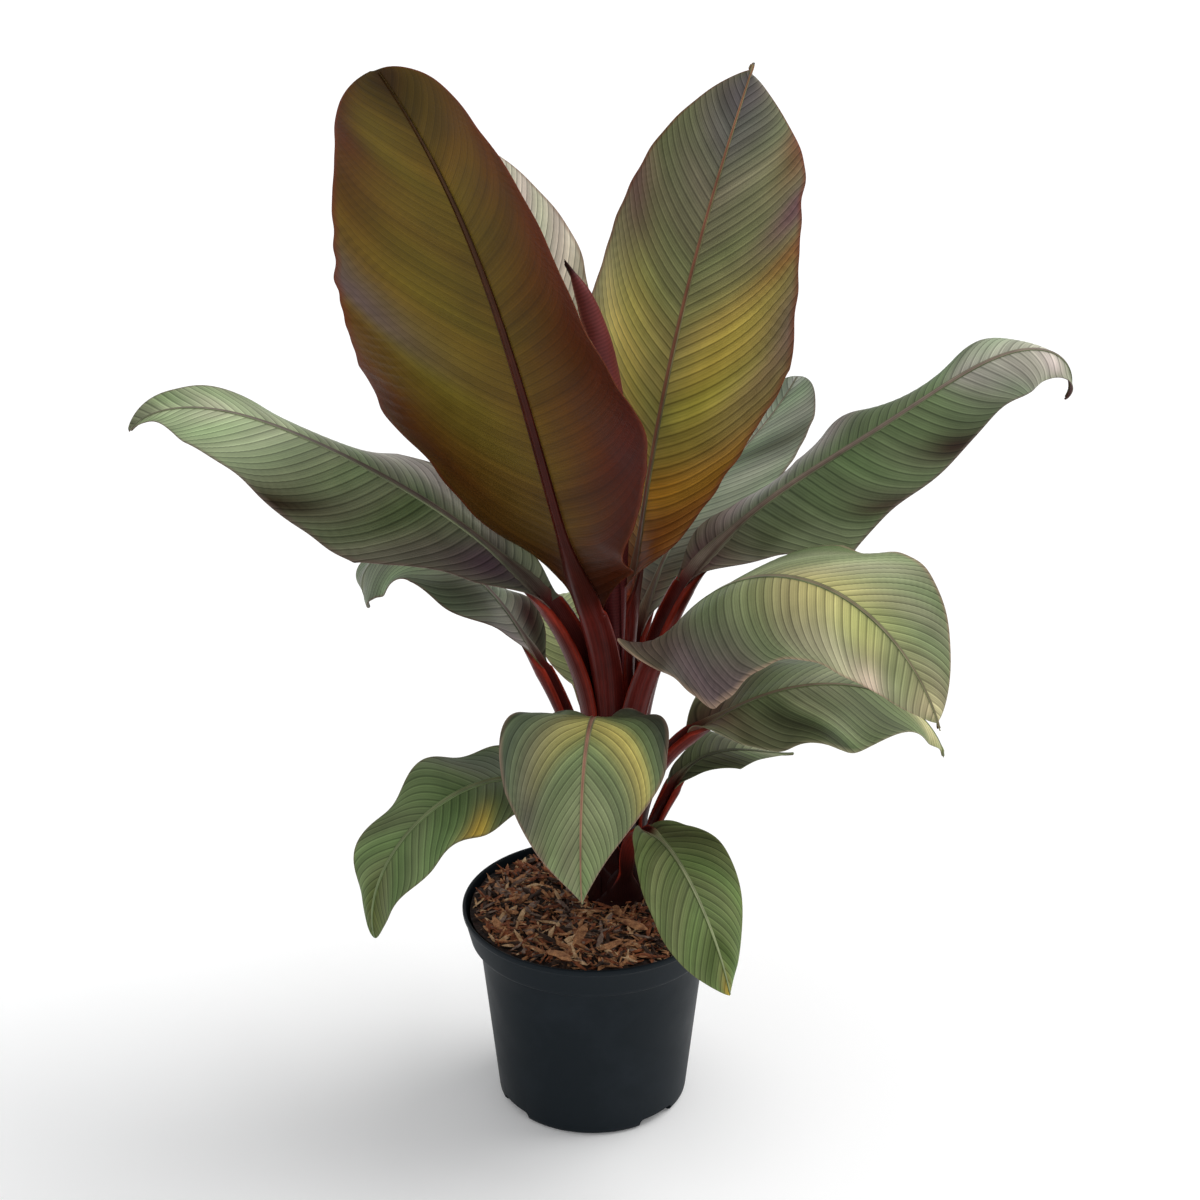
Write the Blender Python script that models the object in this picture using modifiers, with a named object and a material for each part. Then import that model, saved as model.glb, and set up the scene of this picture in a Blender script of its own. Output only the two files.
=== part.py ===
"""Red Abyssinian banana: a young plant in a plain nursery pot.

Metres, Z up. The origin is on the ground, under the middle of the pot.
Angles are in degrees, and a compass angle of 0 is +X and of 90 is +Y.
"""

from dataclasses import dataclass
import math

import bmesh
import bpy
import numpy as np

GAP = 0.0003                 # clear space between pieces that touch

# Pot: a moulded tub with a collar and four drainage notches
POT_HEIGHT = 0.197
RIM_RADIUS = 0.120
RIM_LIP = 0.003
COLLAR_HEIGHT = 0.030
COLLAR_FOOT_RADIUS = 0.1135
BODY_TOP_RADIUS = 0.1055
BASE_RADIUS = 0.0885
BASE_CORNER = 0.007
POT_WALL = 0.0025
POT_FLOOR = 0.006
POT_SIDES = 48
NOTCH_ANGLES = (-146, -47, 43, 133)
NOTCH_WIDTH = 0.040
NOTCH_HEIGHT = 0.009
NOTCH_DEPTH = 0.012

# Bark mulch: fills the pot to just under its rim
MULCH_TOP = 0.190
MULCH_EDGE = 0.185
MULCH_FLAT_RADIUS = 0.062

# False stem: the leaf sheaths wrapped round each other, above the mulch
STEM_X = 0.020
STEM_Y = 0.020
STEM_PROFILE = (             # radius, height; it steps in where a round of sheaths ends
    (0.0290, 0.1903),
    (0.0262, 0.2000),
    (0.0255, 0.2360),
    (0.0247, 0.2720),
    (0.0215, 0.2820),
    (0.0207, 0.2940),
    (0.0203, 0.3180),
    (0.0152, 0.3195),
    (0.0128, 0.3300),
    (0.0066, 0.3385),
)
STEM_SIDES = 24

# Rolled leaf: the youngest leaf, still furled, on top of the false stem
ROLLED_LENGTH = 0.475
ROLLED_FACING = 170
ROLLED_LEAN = 32             # from upright, at the tip
ROLLED_STIFFNESS = 5         # the higher, the nearer to the tip it starts to lean
ROLLED_BASE_RADIUS = 0.0062
ROLLED_RADIUS = 0.0115
ROLLED_WIDEST = 0.72
ROLLED_TIP_RADIUS = 0.0012
ROLLED_SIDES = 12
ROLLED_RINGS = 14

# Leaves: how finely a petiole and a blade are cut
MIDRIB_STEP = 0.004
PETIOLE_RINGS = 9
BLADE_RINGS = 14
BLADE_COLUMNS = 4            # on each side of the midrib
BLADE_END = 0.985            # the blade stops here, at a tip of this half width
TIP_HALF_WIDTH = 0.0035
THINNEST = 95                # a blade is at least its length over this thick

# Petiole sizes: a fixed part and a part that grows with the blade's length
STALK_HALF_WIDTH = (0.0070, 0.0092)
FOOT_OVER_STALK = 0.70
NECK_OVER_STALK = 0.84
STALK_THICKNESS = 0.50       # over its half width
FOOT_THICKNESS = 0.0042
NECK_FOLD = 25
NECK_CURL = 50
OPENING = 0.18               # share of the blade over which the channel opens out


@dataclass
class Leaf:
    """A petiole that rises from the false stem, and the blade that it carries."""

    name: str
    facing: float            # compass angle of the petiole's foot
    height: float            # of the petiole's foot, above the ground
    petiole: float           # length
    blade: float             # length along the midrib
    half_width: tuple        # left and right of the midrib, where widest
    lean: tuple              # from upright at the foot, neck, middle and tip
    hook: float = 0          # further lean, near the tip only
    turn: float = 0          # change of compass angle up the petiole
    swing: float = 0         # change of compass angle along the blade
    roll: tuple = (0, 0)     # about the midrib, at the neck and the tip
    fold: tuple = (10, 10)   # rise of the left and right half, beside the midrib
    curl: tuple = (-15, -15)  # further rise of the half, from midrib to margin
    widest: float = 0.50     # share of the blade's length
    outline: tuple = (1.9, 2.0, 0.8)  # fullness of base and tip, bluntness of tip
    waves: float = 2.0       # waves along a margin
    wave: tuple = (0, 0)     # height of the waves at the left and right margin
    phase: tuple = (0, 0)    # share of a wave by which they start late
    cut: float = 1           # share of the blade where a hooked one is split in two


LEAVES = (
    Leaf("tall_left", facing=-124, height=0.326, petiole=0.166, blade=0.542,
         half_width=(0.158, 0.162), lean=(-3, 21, 18, 34), turn=-14, swing=-20, roll=(21, 57),
         fold=(-19, 11), curl=(-39, 9), widest=0.42, outline=(1.85, 1.2, 0.4), waves=1.65,
         wave=(0.027, 0.015), phase=(0.61, 0.79)),
    Leaf("tall_right", facing=56, height=0.322, petiole=0.151, blade=0.502,
         half_width=(0.132, 0.128), lean=(0, 8, 19, 40), turn=-13, swing=19, roll=(-30, 9),
         fold=(-11, -3), curl=(0, -17), widest=0.5, outline=(1.05, 1.25, 0.6), waves=1.15,
         wave=(0.021, 0.012), phase=(0.51, 0.43)),
    Leaf("tall_back", facing=140, height=0.321, petiole=0.166, blade=0.440,
         half_width=(0.086, 0.087), lean=(0, 11, 27, 18), turn=-5, swing=-4, roll=(5, -4),
         fold=(16, 13), curl=(-8, -10), widest=0.66, outline=(1.3, 1.9, 1.2)),
    Leaf("left", facing=178, height=0.316, petiole=0.179, blade=0.428, half_width=(0.091, 0.093),
         lean=(1, 33, 59, 50), hook=95, turn=2, swing=-10, roll=(-26, -3), fold=(0, -10),
         curl=(-23, -30), widest=0.39, outline=(0.8, 2.2, 0.7), waves=1.55, wave=(0.007, 0.033),
         phase=(0.93, 0.86)),
    Leaf("left_low", facing=146, height=0.276, petiole=0.142, blade=0.260,
         half_width=(0.056, 0.053), lean=(10, 35, 68, 153), hook=65, turn=1, swing=29,
         roll=(4, -10), fold=(-6, 0), curl=(-19, -15), widest=0.54, outline=(1.35, 2, 0.65),
         waves=2.45, wave=(0.010, 0.006), phase=(0.74, 0.73), cut=0.62),
    Leaf("back_right", facing=58, height=0.306, petiole=0.138, blade=0.344,
         half_width=(0.070, 0.067), lean=(4, 19, 73, 51), turn=2, swing=-7, roll=(-11, -17),
         fold=(-7, 7), curl=(-46, -16), widest=0.52, outline=(1.75, 1.95, 0.45)),
    Leaf("right", facing=0, height=0.318, petiole=0.194, blade=0.452, half_width=(0.077, 0.079),
         lean=(4, 26, 55, -10), hook=222, turn=7, swing=10, roll=(13, 23), fold=(-11, -29),
         curl=(-40, -48), widest=0.34, outline=(1.15, 1.05, 0.55), waves=3.3, wave=(0.014, 0.010),
         phase=(0.69, 0.89)),
    Leaf("right_arching", facing=-56, height=0.292, petiole=0.158, blade=0.417,
         half_width=(0.112, 0.110), lean=(3, 24, 76, 154), turn=10, swing=-5, roll=(-12, 18),
         fold=(10, -13), curl=(-18, -65), widest=0.4, outline=(1.65, 1, 0.7), waves=1.85,
         wave=(0.017, 0.012), phase=(0.83, 0.04), cut=0.55),
    Leaf("right_low", facing=-12, height=0.271, petiole=0.107, blade=0.278,
         half_width=(0.071, 0.074), lean=(9, 49, 92, 166), turn=10, swing=11, roll=(9, -12),
         fold=(0, -9), curl=(-19, -35), widest=0.49, outline=(1.55, 1.45, 0.95), waves=2.8,
         wave=(0.009, 0.008), phase=(0.59, 0.1), cut=0.6),
    Leaf("right_small", facing=20, height=0.225, petiole=0.076, blade=0.149,
         half_width=(0.030, 0.025), lean=(23, 29, 102, 100), turn=11, roll=(30, -6),
         fold=(13, 11), curl=(-27, -28), widest=0.46, outline=(0.8, 1.05, 1.2)),
    Leaf("back_low", facing=102, height=0.280, petiole=0.085, blade=0.210,
         half_width=(0.044, 0.044), lean=(6, 34, 80, 120), turn=4, swing=6,
         fold=(12, 12), curl=(-20, -20), waves=2.2, wave=(0.004, 0.005), phase=(0.1, 0.6)),
    Leaf("back_lowest", facing=88, height=0.240, petiole=0.085, blade=0.190,
         half_width=(0.038, 0.038), lean=(14, 48, 100, 150), turn=4, swing=8,
         fold=(12, 10), curl=(-15, -20), waves=2, wave=(0.005, 0.004), phase=(0.5, 0.2),
         cut=0.55),
    Leaf("front", facing=-103, height=0.268, petiole=0.146, blade=0.231,
         half_width=(0.070, 0.068), lean=(10, 28, 128, 132), turn=5, swing=10, roll=(-6, 25),
         fold=(2, 5), curl=(-4, -6), widest=0.5, outline=(1.8, 1.6, 1), waves=1.3,
         wave=(0.016, 0.003), phase=(0.02, 0.85), cut=0.35),
    Leaf("front_left", facing=-146, height=0.254, petiole=0.098, blade=0.270,
         half_width=(0.041, 0.035), lean=(16, 56, 110, 193), turn=9, swing=-14, roll=(-13, -8),
         fold=(-4, 19), curl=(-26, -4), widest=0.38, outline=(2.3, 2.1, 0.7), waves=3.35,
         wave=(0.006, 0.009), phase=(0.42, 0.8), cut=0.5),
    Leaf("front_right", facing=-66, height=0.233, petiole=0.080, blade=0.199,
         half_width=(0.038, 0.042), lean=(17, 63, 122, 164), turn=-2, swing=23, roll=(4, -6),
         fold=(12, -3), curl=(-7, -31), widest=0.52, outline=(1.95, 2.3, 0.8), waves=0.95,
         wave=(0.010, 0.008), phase=(0.93, 0.01), cut=0.4),
)


# Materials

PARTS = {}


def material(name, color, roughness):
    """A plain Principled material, made once."""
    found = bpy.data.materials.get(name)
    if found:
        return found
    made = bpy.data.materials.new(name)
    made.use_nodes = True
    shader = made.node_tree.nodes["Principled BSDF"]
    shader.inputs["Base Color"].default_value = (*color, 1)
    shader.inputs["Roughness"].default_value = roughness
    shader.inputs["Metallic"].default_value = 0
    return made


def pot_plastic():
    return material("pot_plastic", (0.011, 0.018, 0.024), 0.55)


def mulch():
    return material("bark_mulch", (0.150, 0.070, 0.040), 0.95)


def stalk_skin():
    return material("stalk_skin", (0.055, 0.010, 0.010), 0.45)


def leaf_skin():
    return material("leaf_skin", (0.110, 0.130, 0.070), 0.50)


# Shapes

def new_object(name, mesh, collection, skin):
    """Put a mesh in the scene as a named piece with its material."""
    piece = bpy.data.objects.new(name, mesh)
    collection.objects.link(piece)
    mesh.materials.clear()
    mesh.materials.append(skin)
    return piece


def turned(name, profile, sides, centre, collection, skin):
    """A closed solid turned from a profile of (radius, height), its outer side first."""
    mesh = bpy.data.meshes.new(name)
    shape = bmesh.new()
    points = [shape.verts.new((radius, 0, height)) for radius, height in profile]
    for first, second in zip(points, points[1:]):
        shape.edges.new((first, second))
    shape.to_mesh(mesh)
    shape.free()
    piece = new_object(name, mesh, collection, skin)
    piece.location = (*centre, 0)
    screw = piece.modifiers.new("turned", "SCREW")
    screw.steps = sides
    screw.render_steps = sides
    screw.use_merge_vertices = True
    screw.merge_threshold = 0.00001
    screw.use_smooth_shade = True
    return piece


def add_quads(shape, rows):
    """Faces between neighbouring rows of vertices."""
    for row, following in zip(rows, rows[1:]):
        for index in range(len(row) - 1):
            shape.faces.new((row[index], row[index + 1], following[index + 1], following[index]))


def lofted(name, tops, bottoms, collection, skin):
    """A closed slab between rows of points on its upper and its lower side."""
    mesh = bpy.data.meshes.new(name)
    shape = bmesh.new()
    upper = [[shape.verts.new(point) for point in row] for row in tops]
    lower = [[shape.verts.new(point) for point in row] for row in bottoms]
    add_quads(shape, upper)
    add_quads(shape, [row[::-1] for row in lower])
    for side, order in ((0, 1), (-1, -1)):
        edge = [(top[side], bottom[side])[::order] for top, bottom in zip(upper, lower)]
        add_quads(shape, [pair[::-1] for pair in edge])
    for end, order in ((0, 1), (-1, -1)):
        add_quads(shape, [lower[end], upper[end]][::order])
    bmesh.ops.recalc_face_normals(shape, faces=shape.faces)
    shape.to_mesh(mesh)
    shape.free()
    mesh.shade_smooth()
    mesh.set_sharp_from_angle(angle=math.radians(40))
    return new_object(name, mesh, collection, skin)


# How a leaf runs through space

def through(share, start, middle, end):
    """A smooth value with these three at shares 0, 0.5 and 1."""
    return (start * (1 - share) * (1 - 2 * share) + 4 * middle * share * (1 - share)
            + end * share * (2 * share - 1))


def smooth(share):
    """0 to 1, with a soft start and end."""
    share = np.clip(share, 0, 1)
    return share * share * (3 - 2 * share)


def follow(steps, lean, heading, start):
    """Integrate a line that leans and turns, with its tangent, upper side and right side."""
    lean, heading = np.radians(lean), np.radians(heading)
    tangent = np.stack([np.sin(lean) * np.cos(heading), np.sin(lean) * np.sin(heading),
                        np.cos(lean)], -1)
    normal = np.stack([-np.cos(lean) * np.cos(heading), -np.cos(lean) * np.sin(heading),
                       np.sin(lean)], -1)
    moved = np.diff(steps)[:, None] * (tangent[1:] + tangent[:-1]) / 2
    centre = np.asarray(start) + np.concatenate([np.zeros((1, 3)), np.cumsum(moved, 0)])
    return centre, tangent, normal, np.cross(tangent, normal)


def stem_radius(height):
    """Radius of the false stem at a height."""
    radii, heights = zip(*STEM_PROFILE)
    return float(np.interp(height, heights, radii))


def midrib(leaf):
    """Arc lengths from the neck, with the centre, upper side and right side at each."""
    below = np.linspace(-leaf.petiole, 0, round(leaf.petiole / MIDRIB_STEP), endpoint=False)
    steps = np.concatenate([below, np.linspace(0, leaf.blade, round(leaf.blade / MIDRIB_STEP))])
    up_petiole = np.clip(steps / leaf.petiole + 1, 0, 1)
    along = np.clip(steps / leaf.blade, 0, 1)
    at_foot, at_neck, at_middle, at_tip = leaf.lean
    lean = np.where(steps < 0, at_foot + (at_neck - at_foot) * up_petiole ** 1.4,
                    through(along, at_neck, at_middle, at_tip) + leaf.hook * along ** 6)
    heading = leaf.facing + leaf.turn * up_petiole + leaf.swing * along ** 2
    away = stem_radius(leaf.height) + GAP
    foot_angle = math.radians(leaf.facing)
    foot = (STEM_X + away * math.cos(foot_angle), STEM_Y + away * math.sin(foot_angle),
            leaf.height)
    centre, _, normal, side = follow(steps, lean, heading, foot)
    neck_roll, tip_roll = leaf.roll
    roll = np.radians(neck_roll * up_petiole + (tip_roll - neck_roll) * along)[:, None]
    up = normal * np.cos(roll) + side * np.sin(roll)
    right = side * np.cos(roll) - normal * np.sin(roll)
    return steps, centre, up, right


def between(steps, values, wanted):
    """Read rows of values at other arc lengths."""
    return np.stack([np.interp(wanted, steps, column) for column in values.T], -1)


# The section of a petiole and of a blade

def stalk_half_width(leaf):
    fixed, growing = STALK_HALF_WIDTH
    return fixed + growing * leaf.blade


def blade_half_width(leaf, side, along):
    """Half width of the blade, on the left (0) or right (1), at a share of its length."""
    base_fullness, tip_fullness, bluntness = leaf.outline
    before = np.clip(1 - along / leaf.widest, 0, 1)
    after = np.clip((along - leaf.widest) / (1 - leaf.widest), 0, 1)
    shape = (1 - before ** base_fullness) * (1 - after ** tip_fullness) ** bluntness
    neck = NECK_OVER_STALK * stalk_half_width(leaf)
    return np.maximum(leaf.half_width[side] * shape + neck * (1 - along) ** 2, TIP_HALF_WIDTH)


def section(leaf, side, step):
    """Half width, fold, curl, thickness at the middle and at the margin, at an arc length."""
    stalk = stalk_half_width(leaf)
    slab = leaf.blade / THINNEST
    if step < 0:
        up = 1 + step / leaf.petiole
        ends = (FOOT_OVER_STALK * stalk, stalk, NECK_OVER_STALK * stalk)
        width = through(up, *ends)
        foot_curl = math.degrees(ends[0] / stem_radius(leaf.height))
        return (width, NECK_FOLD * up, through(up, foot_curl, 62, NECK_CURL),
                through(up, FOOT_THICKNESS, STALK_THICKNESS * stalk, slab + 0.0025),
                max(0.0018, slab * up))
    along = step / leaf.blade
    open_now = smooth(along / OPENING)
    flat_now = 1 - smooth((along - 0.88) / 0.1)
    fold = (NECK_FOLD + (leaf.fold[side] - NECK_FOLD) * open_now) * flat_now
    curl = (NECK_CURL + (leaf.curl[side] - NECK_CURL) * open_now) * flat_now
    width = float(blade_half_width(leaf, side, along))
    return width, fold, curl, slab + 0.0025 * (1 - along), max(0.0018, slab)


def rib_row(leaf, line, step):
    """The row of points over the upper side of one section, and the row under it."""
    steps, centre, up, right = line
    here = between(steps, centre, np.array([step]))[0]
    up_here = between(steps, up, np.array([step]))[0]
    right_here = between(steps, right, np.array([step]))[0]
    along = max(step / leaf.blade, 0)
    tops, bottoms = [], []
    for side, sign in ((0, -1), (1, 1)):
        width, fold, curl, middle, margin = section(leaf, side, step)
        shares = np.linspace(0, 1, BLADE_COLUMNS + 1)[side:]
        start = math.radians(fold)
        bend = math.radians(curl) / width or 1e-6
        tilt = start + bend * width * shares
        out = (np.sin(tilt) - math.sin(start)) / bend
        rise = (math.cos(start) - np.cos(tilt)) / bend
        late = leaf.phase[side]
        swell = math.sqrt(math.sin(math.pi * min(along, 1)) + 1e-12)
        rise += (leaf.wave[side] * swell * shares ** 2
                 * math.sin(2 * math.pi * (leaf.waves * along + late)))
        tilt[shares == 0] = 0
        thick = middle + (margin - middle) * np.sqrt(shares)
        row = here + np.outer(sign * out, right_here) + np.outer(rise, up_here)
        inward = np.outer(sign * np.sin(tilt), right_here) - np.outer(np.cos(tilt), up_here)
        under = row + thick[:, None] * inward
        order = -1 if side == 0 else 1
        tops.extend(row[::order])
        bottoms.extend(under[::order])
    return tops, bottoms


def leaf_piece(name, leaf, line, stations, collection, skin):
    rows = [rib_row(leaf, line, step) for step in stations]
    return lofted(name, [top for top, _ in rows], [bottom for _, bottom in rows],
                  collection, skin)


def petiole(leaf, line, collection):
    """The tapering, channelled limb from the false stem to the blade's neck."""
    stations = np.linspace(-leaf.petiole, -GAP / 2, PETIOLE_RINGS)
    leaf_piece("petiole_" + leaf.name, leaf, line, stations, collection, stalk_skin())


def blade(leaf, line, collection):
    """The thin blade, in two lengths where it bends round a wide gap."""
    shares = np.linspace(0, 1, BLADE_RINGS) ** 0.9
    stations = GAP / 2 + (BLADE_END * leaf.blade - GAP / 2) * shares
    if leaf.cut == 1:
        leaf_piece("blade_" + leaf.name, leaf, line, stations, collection, leaf_skin())
        return
    cut = leaf.cut * leaf.blade
    inner = [*stations[stations < cut - 0.006], cut - GAP / 2]
    outer = [cut + GAP / 2, *stations[stations > cut + 0.006]]
    leaf_piece("blade_" + leaf.name, leaf, line, inner, collection, leaf_skin())
    leaf_piece("blade_end_" + leaf.name, leaf, line, outer, collection, leaf_skin())


# The other pieces

def corner(centre_radius, centre_height, radius, start, end, count=4):
    """Points on a round corner of a profile, from one angle to another."""
    angles = [math.radians(start + (end - start) * index / count) for index in range(count + 1)]
    return [(centre_radius + radius * math.cos(angle), centre_height + radius * math.sin(angle))
            for angle in angles]


def pot(collection, cutters):
    """The tub: rim lip, tapering collar, tapering body and rounded base, cut by notches."""
    collar_foot = POT_HEIGHT - COLLAR_HEIGHT
    base = corner(BASE_RADIUS - BASE_CORNER, BASE_CORNER, BASE_CORNER, 0, -90)
    profile = [
        (RIM_RADIUS - RIM_LIP, POT_HEIGHT),
        (RIM_RADIUS - 0.0008, POT_HEIGHT),
        (RIM_RADIUS, POT_HEIGHT - 0.0015),
        (RIM_RADIUS - 0.0008, POT_HEIGHT - 0.005),
        (COLLAR_FOOT_RADIUS, collar_foot + 0.003),
        (COLLAR_FOOT_RADIUS - 0.002, collar_foot),
        (BODY_TOP_RADIUS, collar_foot - 0.004),
        *base,
        (0, 0),
        (0, POT_FLOOR),
        (BASE_RADIUS - 0.010, POT_FLOOR),
        (BASE_RADIUS - POT_WALL, POT_FLOOR + BASE_CORNER),
        (BODY_TOP_RADIUS - POT_WALL, collar_foot - 0.004),
        (COLLAR_FOOT_RADIUS - POT_WALL, collar_foot + 0.003),
        (RIM_RADIUS - RIM_LIP, POT_HEIGHT),
    ]
    piece = turned("pot", profile, POT_SIDES, (0, 0), collection, pot_plastic())
    for index, angle in enumerate(NOTCH_ANGLES):
        mesh = bpy.data.meshes.new(f"notch_{index}")
        shape = bmesh.new()
        bmesh.ops.create_cube(shape, size=1)
        for vertex in shape.verts:
            narrowing = 0.72 if vertex.co.z > 0 else 1
            vertex.co.x = vertex.co.x * 2 * NOTCH_DEPTH + BASE_RADIUS
            vertex.co.y *= NOTCH_WIDTH * narrowing
            vertex.co.z *= 2 * NOTCH_HEIGHT
        shape.to_mesh(mesh)
        shape.free()
        cutter = new_object(f"notch_{index}", mesh, cutters, pot_plastic())
        cutter.rotation_euler.z = math.radians(angle)
        cutter.hide_render = True
        cutter.display_type = "WIRE"
        cut = piece.modifiers.new(f"notch_{index}", "BOOLEAN")
        cut.operation = "DIFFERENCE"
        cut.object = cutter


def bark_mulch(collection):
    """The filling of the pot, level under the stem and a little lower at the wall."""
    clear = POT_WALL + 2 * GAP
    collar_foot = POT_HEIGHT - COLLAR_HEIGHT
    rim_slope = (RIM_RADIUS - RIM_LIP - COLLAR_FOOT_RADIUS + POT_WALL) / (COLLAR_HEIGHT - 0.003)
    edge = COLLAR_FOOT_RADIUS - clear + rim_slope * (MULCH_EDGE - collar_foot - 0.003)
    profile = [
        (0, MULCH_TOP),
        (MULCH_FLAT_RADIUS, MULCH_TOP),
        (edge - 0.004, MULCH_EDGE + 0.0015),
        (edge, MULCH_EDGE - 0.002),
        (COLLAR_FOOT_RADIUS - clear, collar_foot + 0.003 - GAP),
        (BODY_TOP_RADIUS - clear, collar_foot - 0.004),
        (BASE_RADIUS - clear, POT_FLOOR + BASE_CORNER + GAP),
        (BASE_RADIUS - 0.010 - GAP, POT_FLOOR + GAP),
        (0, POT_FLOOR + GAP),
    ]
    turned("bark_mulch", profile, POT_SIDES, (0, 0), collection, mulch())


def false_stem(collection):
    """The short stem of wrapped sheaths, with a swollen foot and a flat cut under it."""
    foot_height = STEM_PROFILE[0][1]
    top_height = STEM_PROFILE[-1][1]
    profile = [(0, top_height), *reversed(STEM_PROFILE), (0, foot_height)]
    turned("false_stem", profile, STEM_SIDES, (STEM_X, STEM_Y), collection, stalk_skin())


def rolled_leaf(collection):
    """The furled leaf: a swelling spindle that leans over and ends in a point."""
    steps = np.linspace(0, ROLLED_LENGTH, ROLLED_RINGS)
    share = steps / ROLLED_LENGTH
    lean = ROLLED_LEAN * share ** ROLLED_STIFFNESS
    start = (STEM_X, STEM_Y, STEM_PROFILE[-1][1] + GAP)
    centre, _, up, right = follow(steps, lean, np.full(ROLLED_RINGS, ROLLED_FACING), start)
    swell = smooth(share / ROLLED_WIDEST)
    taper = 1 - smooth((share - ROLLED_WIDEST) / (1 - ROLLED_WIDEST)) ** 0.8
    radius = ROLLED_BASE_RADIUS + (ROLLED_RADIUS - ROLLED_BASE_RADIUS) * swell
    radius = ROLLED_TIP_RADIUS + (radius - ROLLED_TIP_RADIUS) * taper
    mesh = bpy.data.meshes.new("rolled_leaf")
    shape = bmesh.new()
    angles = [2 * math.pi * index / ROLLED_SIDES for index in range(ROLLED_SIDES)]
    rings = []
    for here, up_here, right_here, size in zip(centre, up, right, radius):
        ring = [here + size * (math.cos(angle) * right_here + math.sin(angle) * up_here)
                for angle in angles]
        rings.append([shape.verts.new(point) for point in ring])
    add_quads(shape, [[*ring, ring[0]] for ring in rings])
    shape.faces.new(rings[0])
    shape.faces.new(rings[-1])
    bmesh.ops.recalc_face_normals(shape, faces=shape.faces)
    shape.to_mesh(mesh)
    shape.free()
    mesh.shade_smooth()
    new_object("rolled_leaf", mesh, collection, stalk_skin())


def new_collection(name):
    made = bpy.data.collections.new(name)
    bpy.context.scene.collection.children.link(made)
    return made


def main():
    for old in list(bpy.data.objects):
        bpy.data.objects.remove(old, do_unlink=True)
    plant = new_collection("red_abyssinian_banana")
    cutters = new_collection("cutters")
    pot(plant, cutters)
    bark_mulch(plant)
    false_stem(plant)
    rolled_leaf(plant)
    for leaf in LEAVES:
        line = midrib(leaf)
        petiole(leaf, line, plant)
        blade(leaf, line, plant)


main()
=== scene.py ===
"""Red Abyssinian banana in a nursery pot: the finished look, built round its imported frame.

Laid out as an add-on and run as a script. Metres, Z up, the origin under the middle of the pot.
Angles are in degrees, and a compass angle of 0 is +X and of 90 is +Y.
"""

from dataclasses import dataclass
import math
import random

import bpy
from bpy.props import FloatProperty, IntProperty, PointerProperty, StringProperty
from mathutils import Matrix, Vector
import numpy as np


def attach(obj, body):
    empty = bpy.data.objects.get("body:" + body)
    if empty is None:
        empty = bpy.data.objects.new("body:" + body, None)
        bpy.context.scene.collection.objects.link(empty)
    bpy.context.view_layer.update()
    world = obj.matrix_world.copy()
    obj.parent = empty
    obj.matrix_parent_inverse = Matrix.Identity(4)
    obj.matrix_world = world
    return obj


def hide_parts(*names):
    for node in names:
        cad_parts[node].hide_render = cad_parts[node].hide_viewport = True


bl_info = {
    "name": "Red Abyssinian banana",
    "version": (1, 0, 0),
    "blender": (4, 5, 0),
    "location": "3D View > Sidebar > Banana",
    "description": "Dresses a young banana plant in its nursery pot",
    "category": "Object",
}

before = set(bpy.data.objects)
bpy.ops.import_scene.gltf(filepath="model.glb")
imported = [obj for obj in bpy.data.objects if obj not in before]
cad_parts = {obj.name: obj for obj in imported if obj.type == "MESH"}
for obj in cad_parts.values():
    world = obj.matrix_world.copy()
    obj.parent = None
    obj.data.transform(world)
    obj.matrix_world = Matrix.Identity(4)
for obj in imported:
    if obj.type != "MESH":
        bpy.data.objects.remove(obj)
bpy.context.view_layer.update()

ROOT = "root"
GAP = 0.0003                 # between pieces that touch in life
SMOOTH_ANGLE = math.radians(50)
POT_SMOOTH_ANGLE = math.radians(38)

# False stem: the envelope of the wrapped sheaths
STEM_X = 0.020
STEM_Y = 0.020
STEM_PROFILE = (             # radius, height; it steps in where a round of sheaths ends
    (0.0290, 0.1903),
    (0.0262, 0.2000),
    (0.0255, 0.2360),
    (0.0247, 0.2720),
    (0.0215, 0.2820),
    (0.0207, 0.2940),
    (0.0203, 0.3180),
    (0.0152, 0.3195),
    (0.0128, 0.3300),
    (0.0066, 0.3385),
)
MULCH_TOP = 0.190

# Petiole sizes: a fixed part and a part that grows with the blade's length
STALK_HALF_WIDTH = (0.0045, 0.0225)
FOOT_OVER_STALK = 0.70
NECK_OVER_STALK = 0.84
STALK_THICKNESS = 0.38       # over its half width
FOOT_THICKNESS = 0.0042
NECK_THICKNESS = 0.0062
NECK_FOLD = 25
NECK_CURL = 50
MIDDLE_CURL = 62
MIDRIB_STEP = 0.004

# Sheath: the foot of a petiole, wrapped round the false stem under the older ones
SHEATH_LENGTH = 0.075
SHEATH_THICKNESS = 0.0016
SHEATH_WRAP = 82             # each way round the stem
SHEATH_LAYER = 0.0011        # depth of one sheath under the next
SHEATH_FADE = 0.016          # height over which one more sheath comes to lie on top
SHEATH_EASE = 0.012          # length over which a petiole's lean fades out below its foot
SHEATH_SPREAD = 0.055        # length over which a sheath reaches its full wrap
STEEPEST_SHEATH = 24         # the most lean that a sheath follows

# Mesh rows, as lengths, and the finest widths of a leaf
STALK_ROW_SPACING = 0.0035
STALK_EDGE = 0.0008          # thickness of a midrib's edge
THREAD_HALF_WIDTH = 0.0008   # of a blade at its very tip
BLADE_INSET = 0.0002         # of a blade's upper face, below the leaf's even surface

# Core of the false stem, inside the sheaths
CORE_SIDES = 72
CORE_RINGS = 60
CORE_FOOT = 0.184
CORE_INSET = 0.0012          # inside the envelope of the sheaths
CORE_FLUTES = 9

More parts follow.
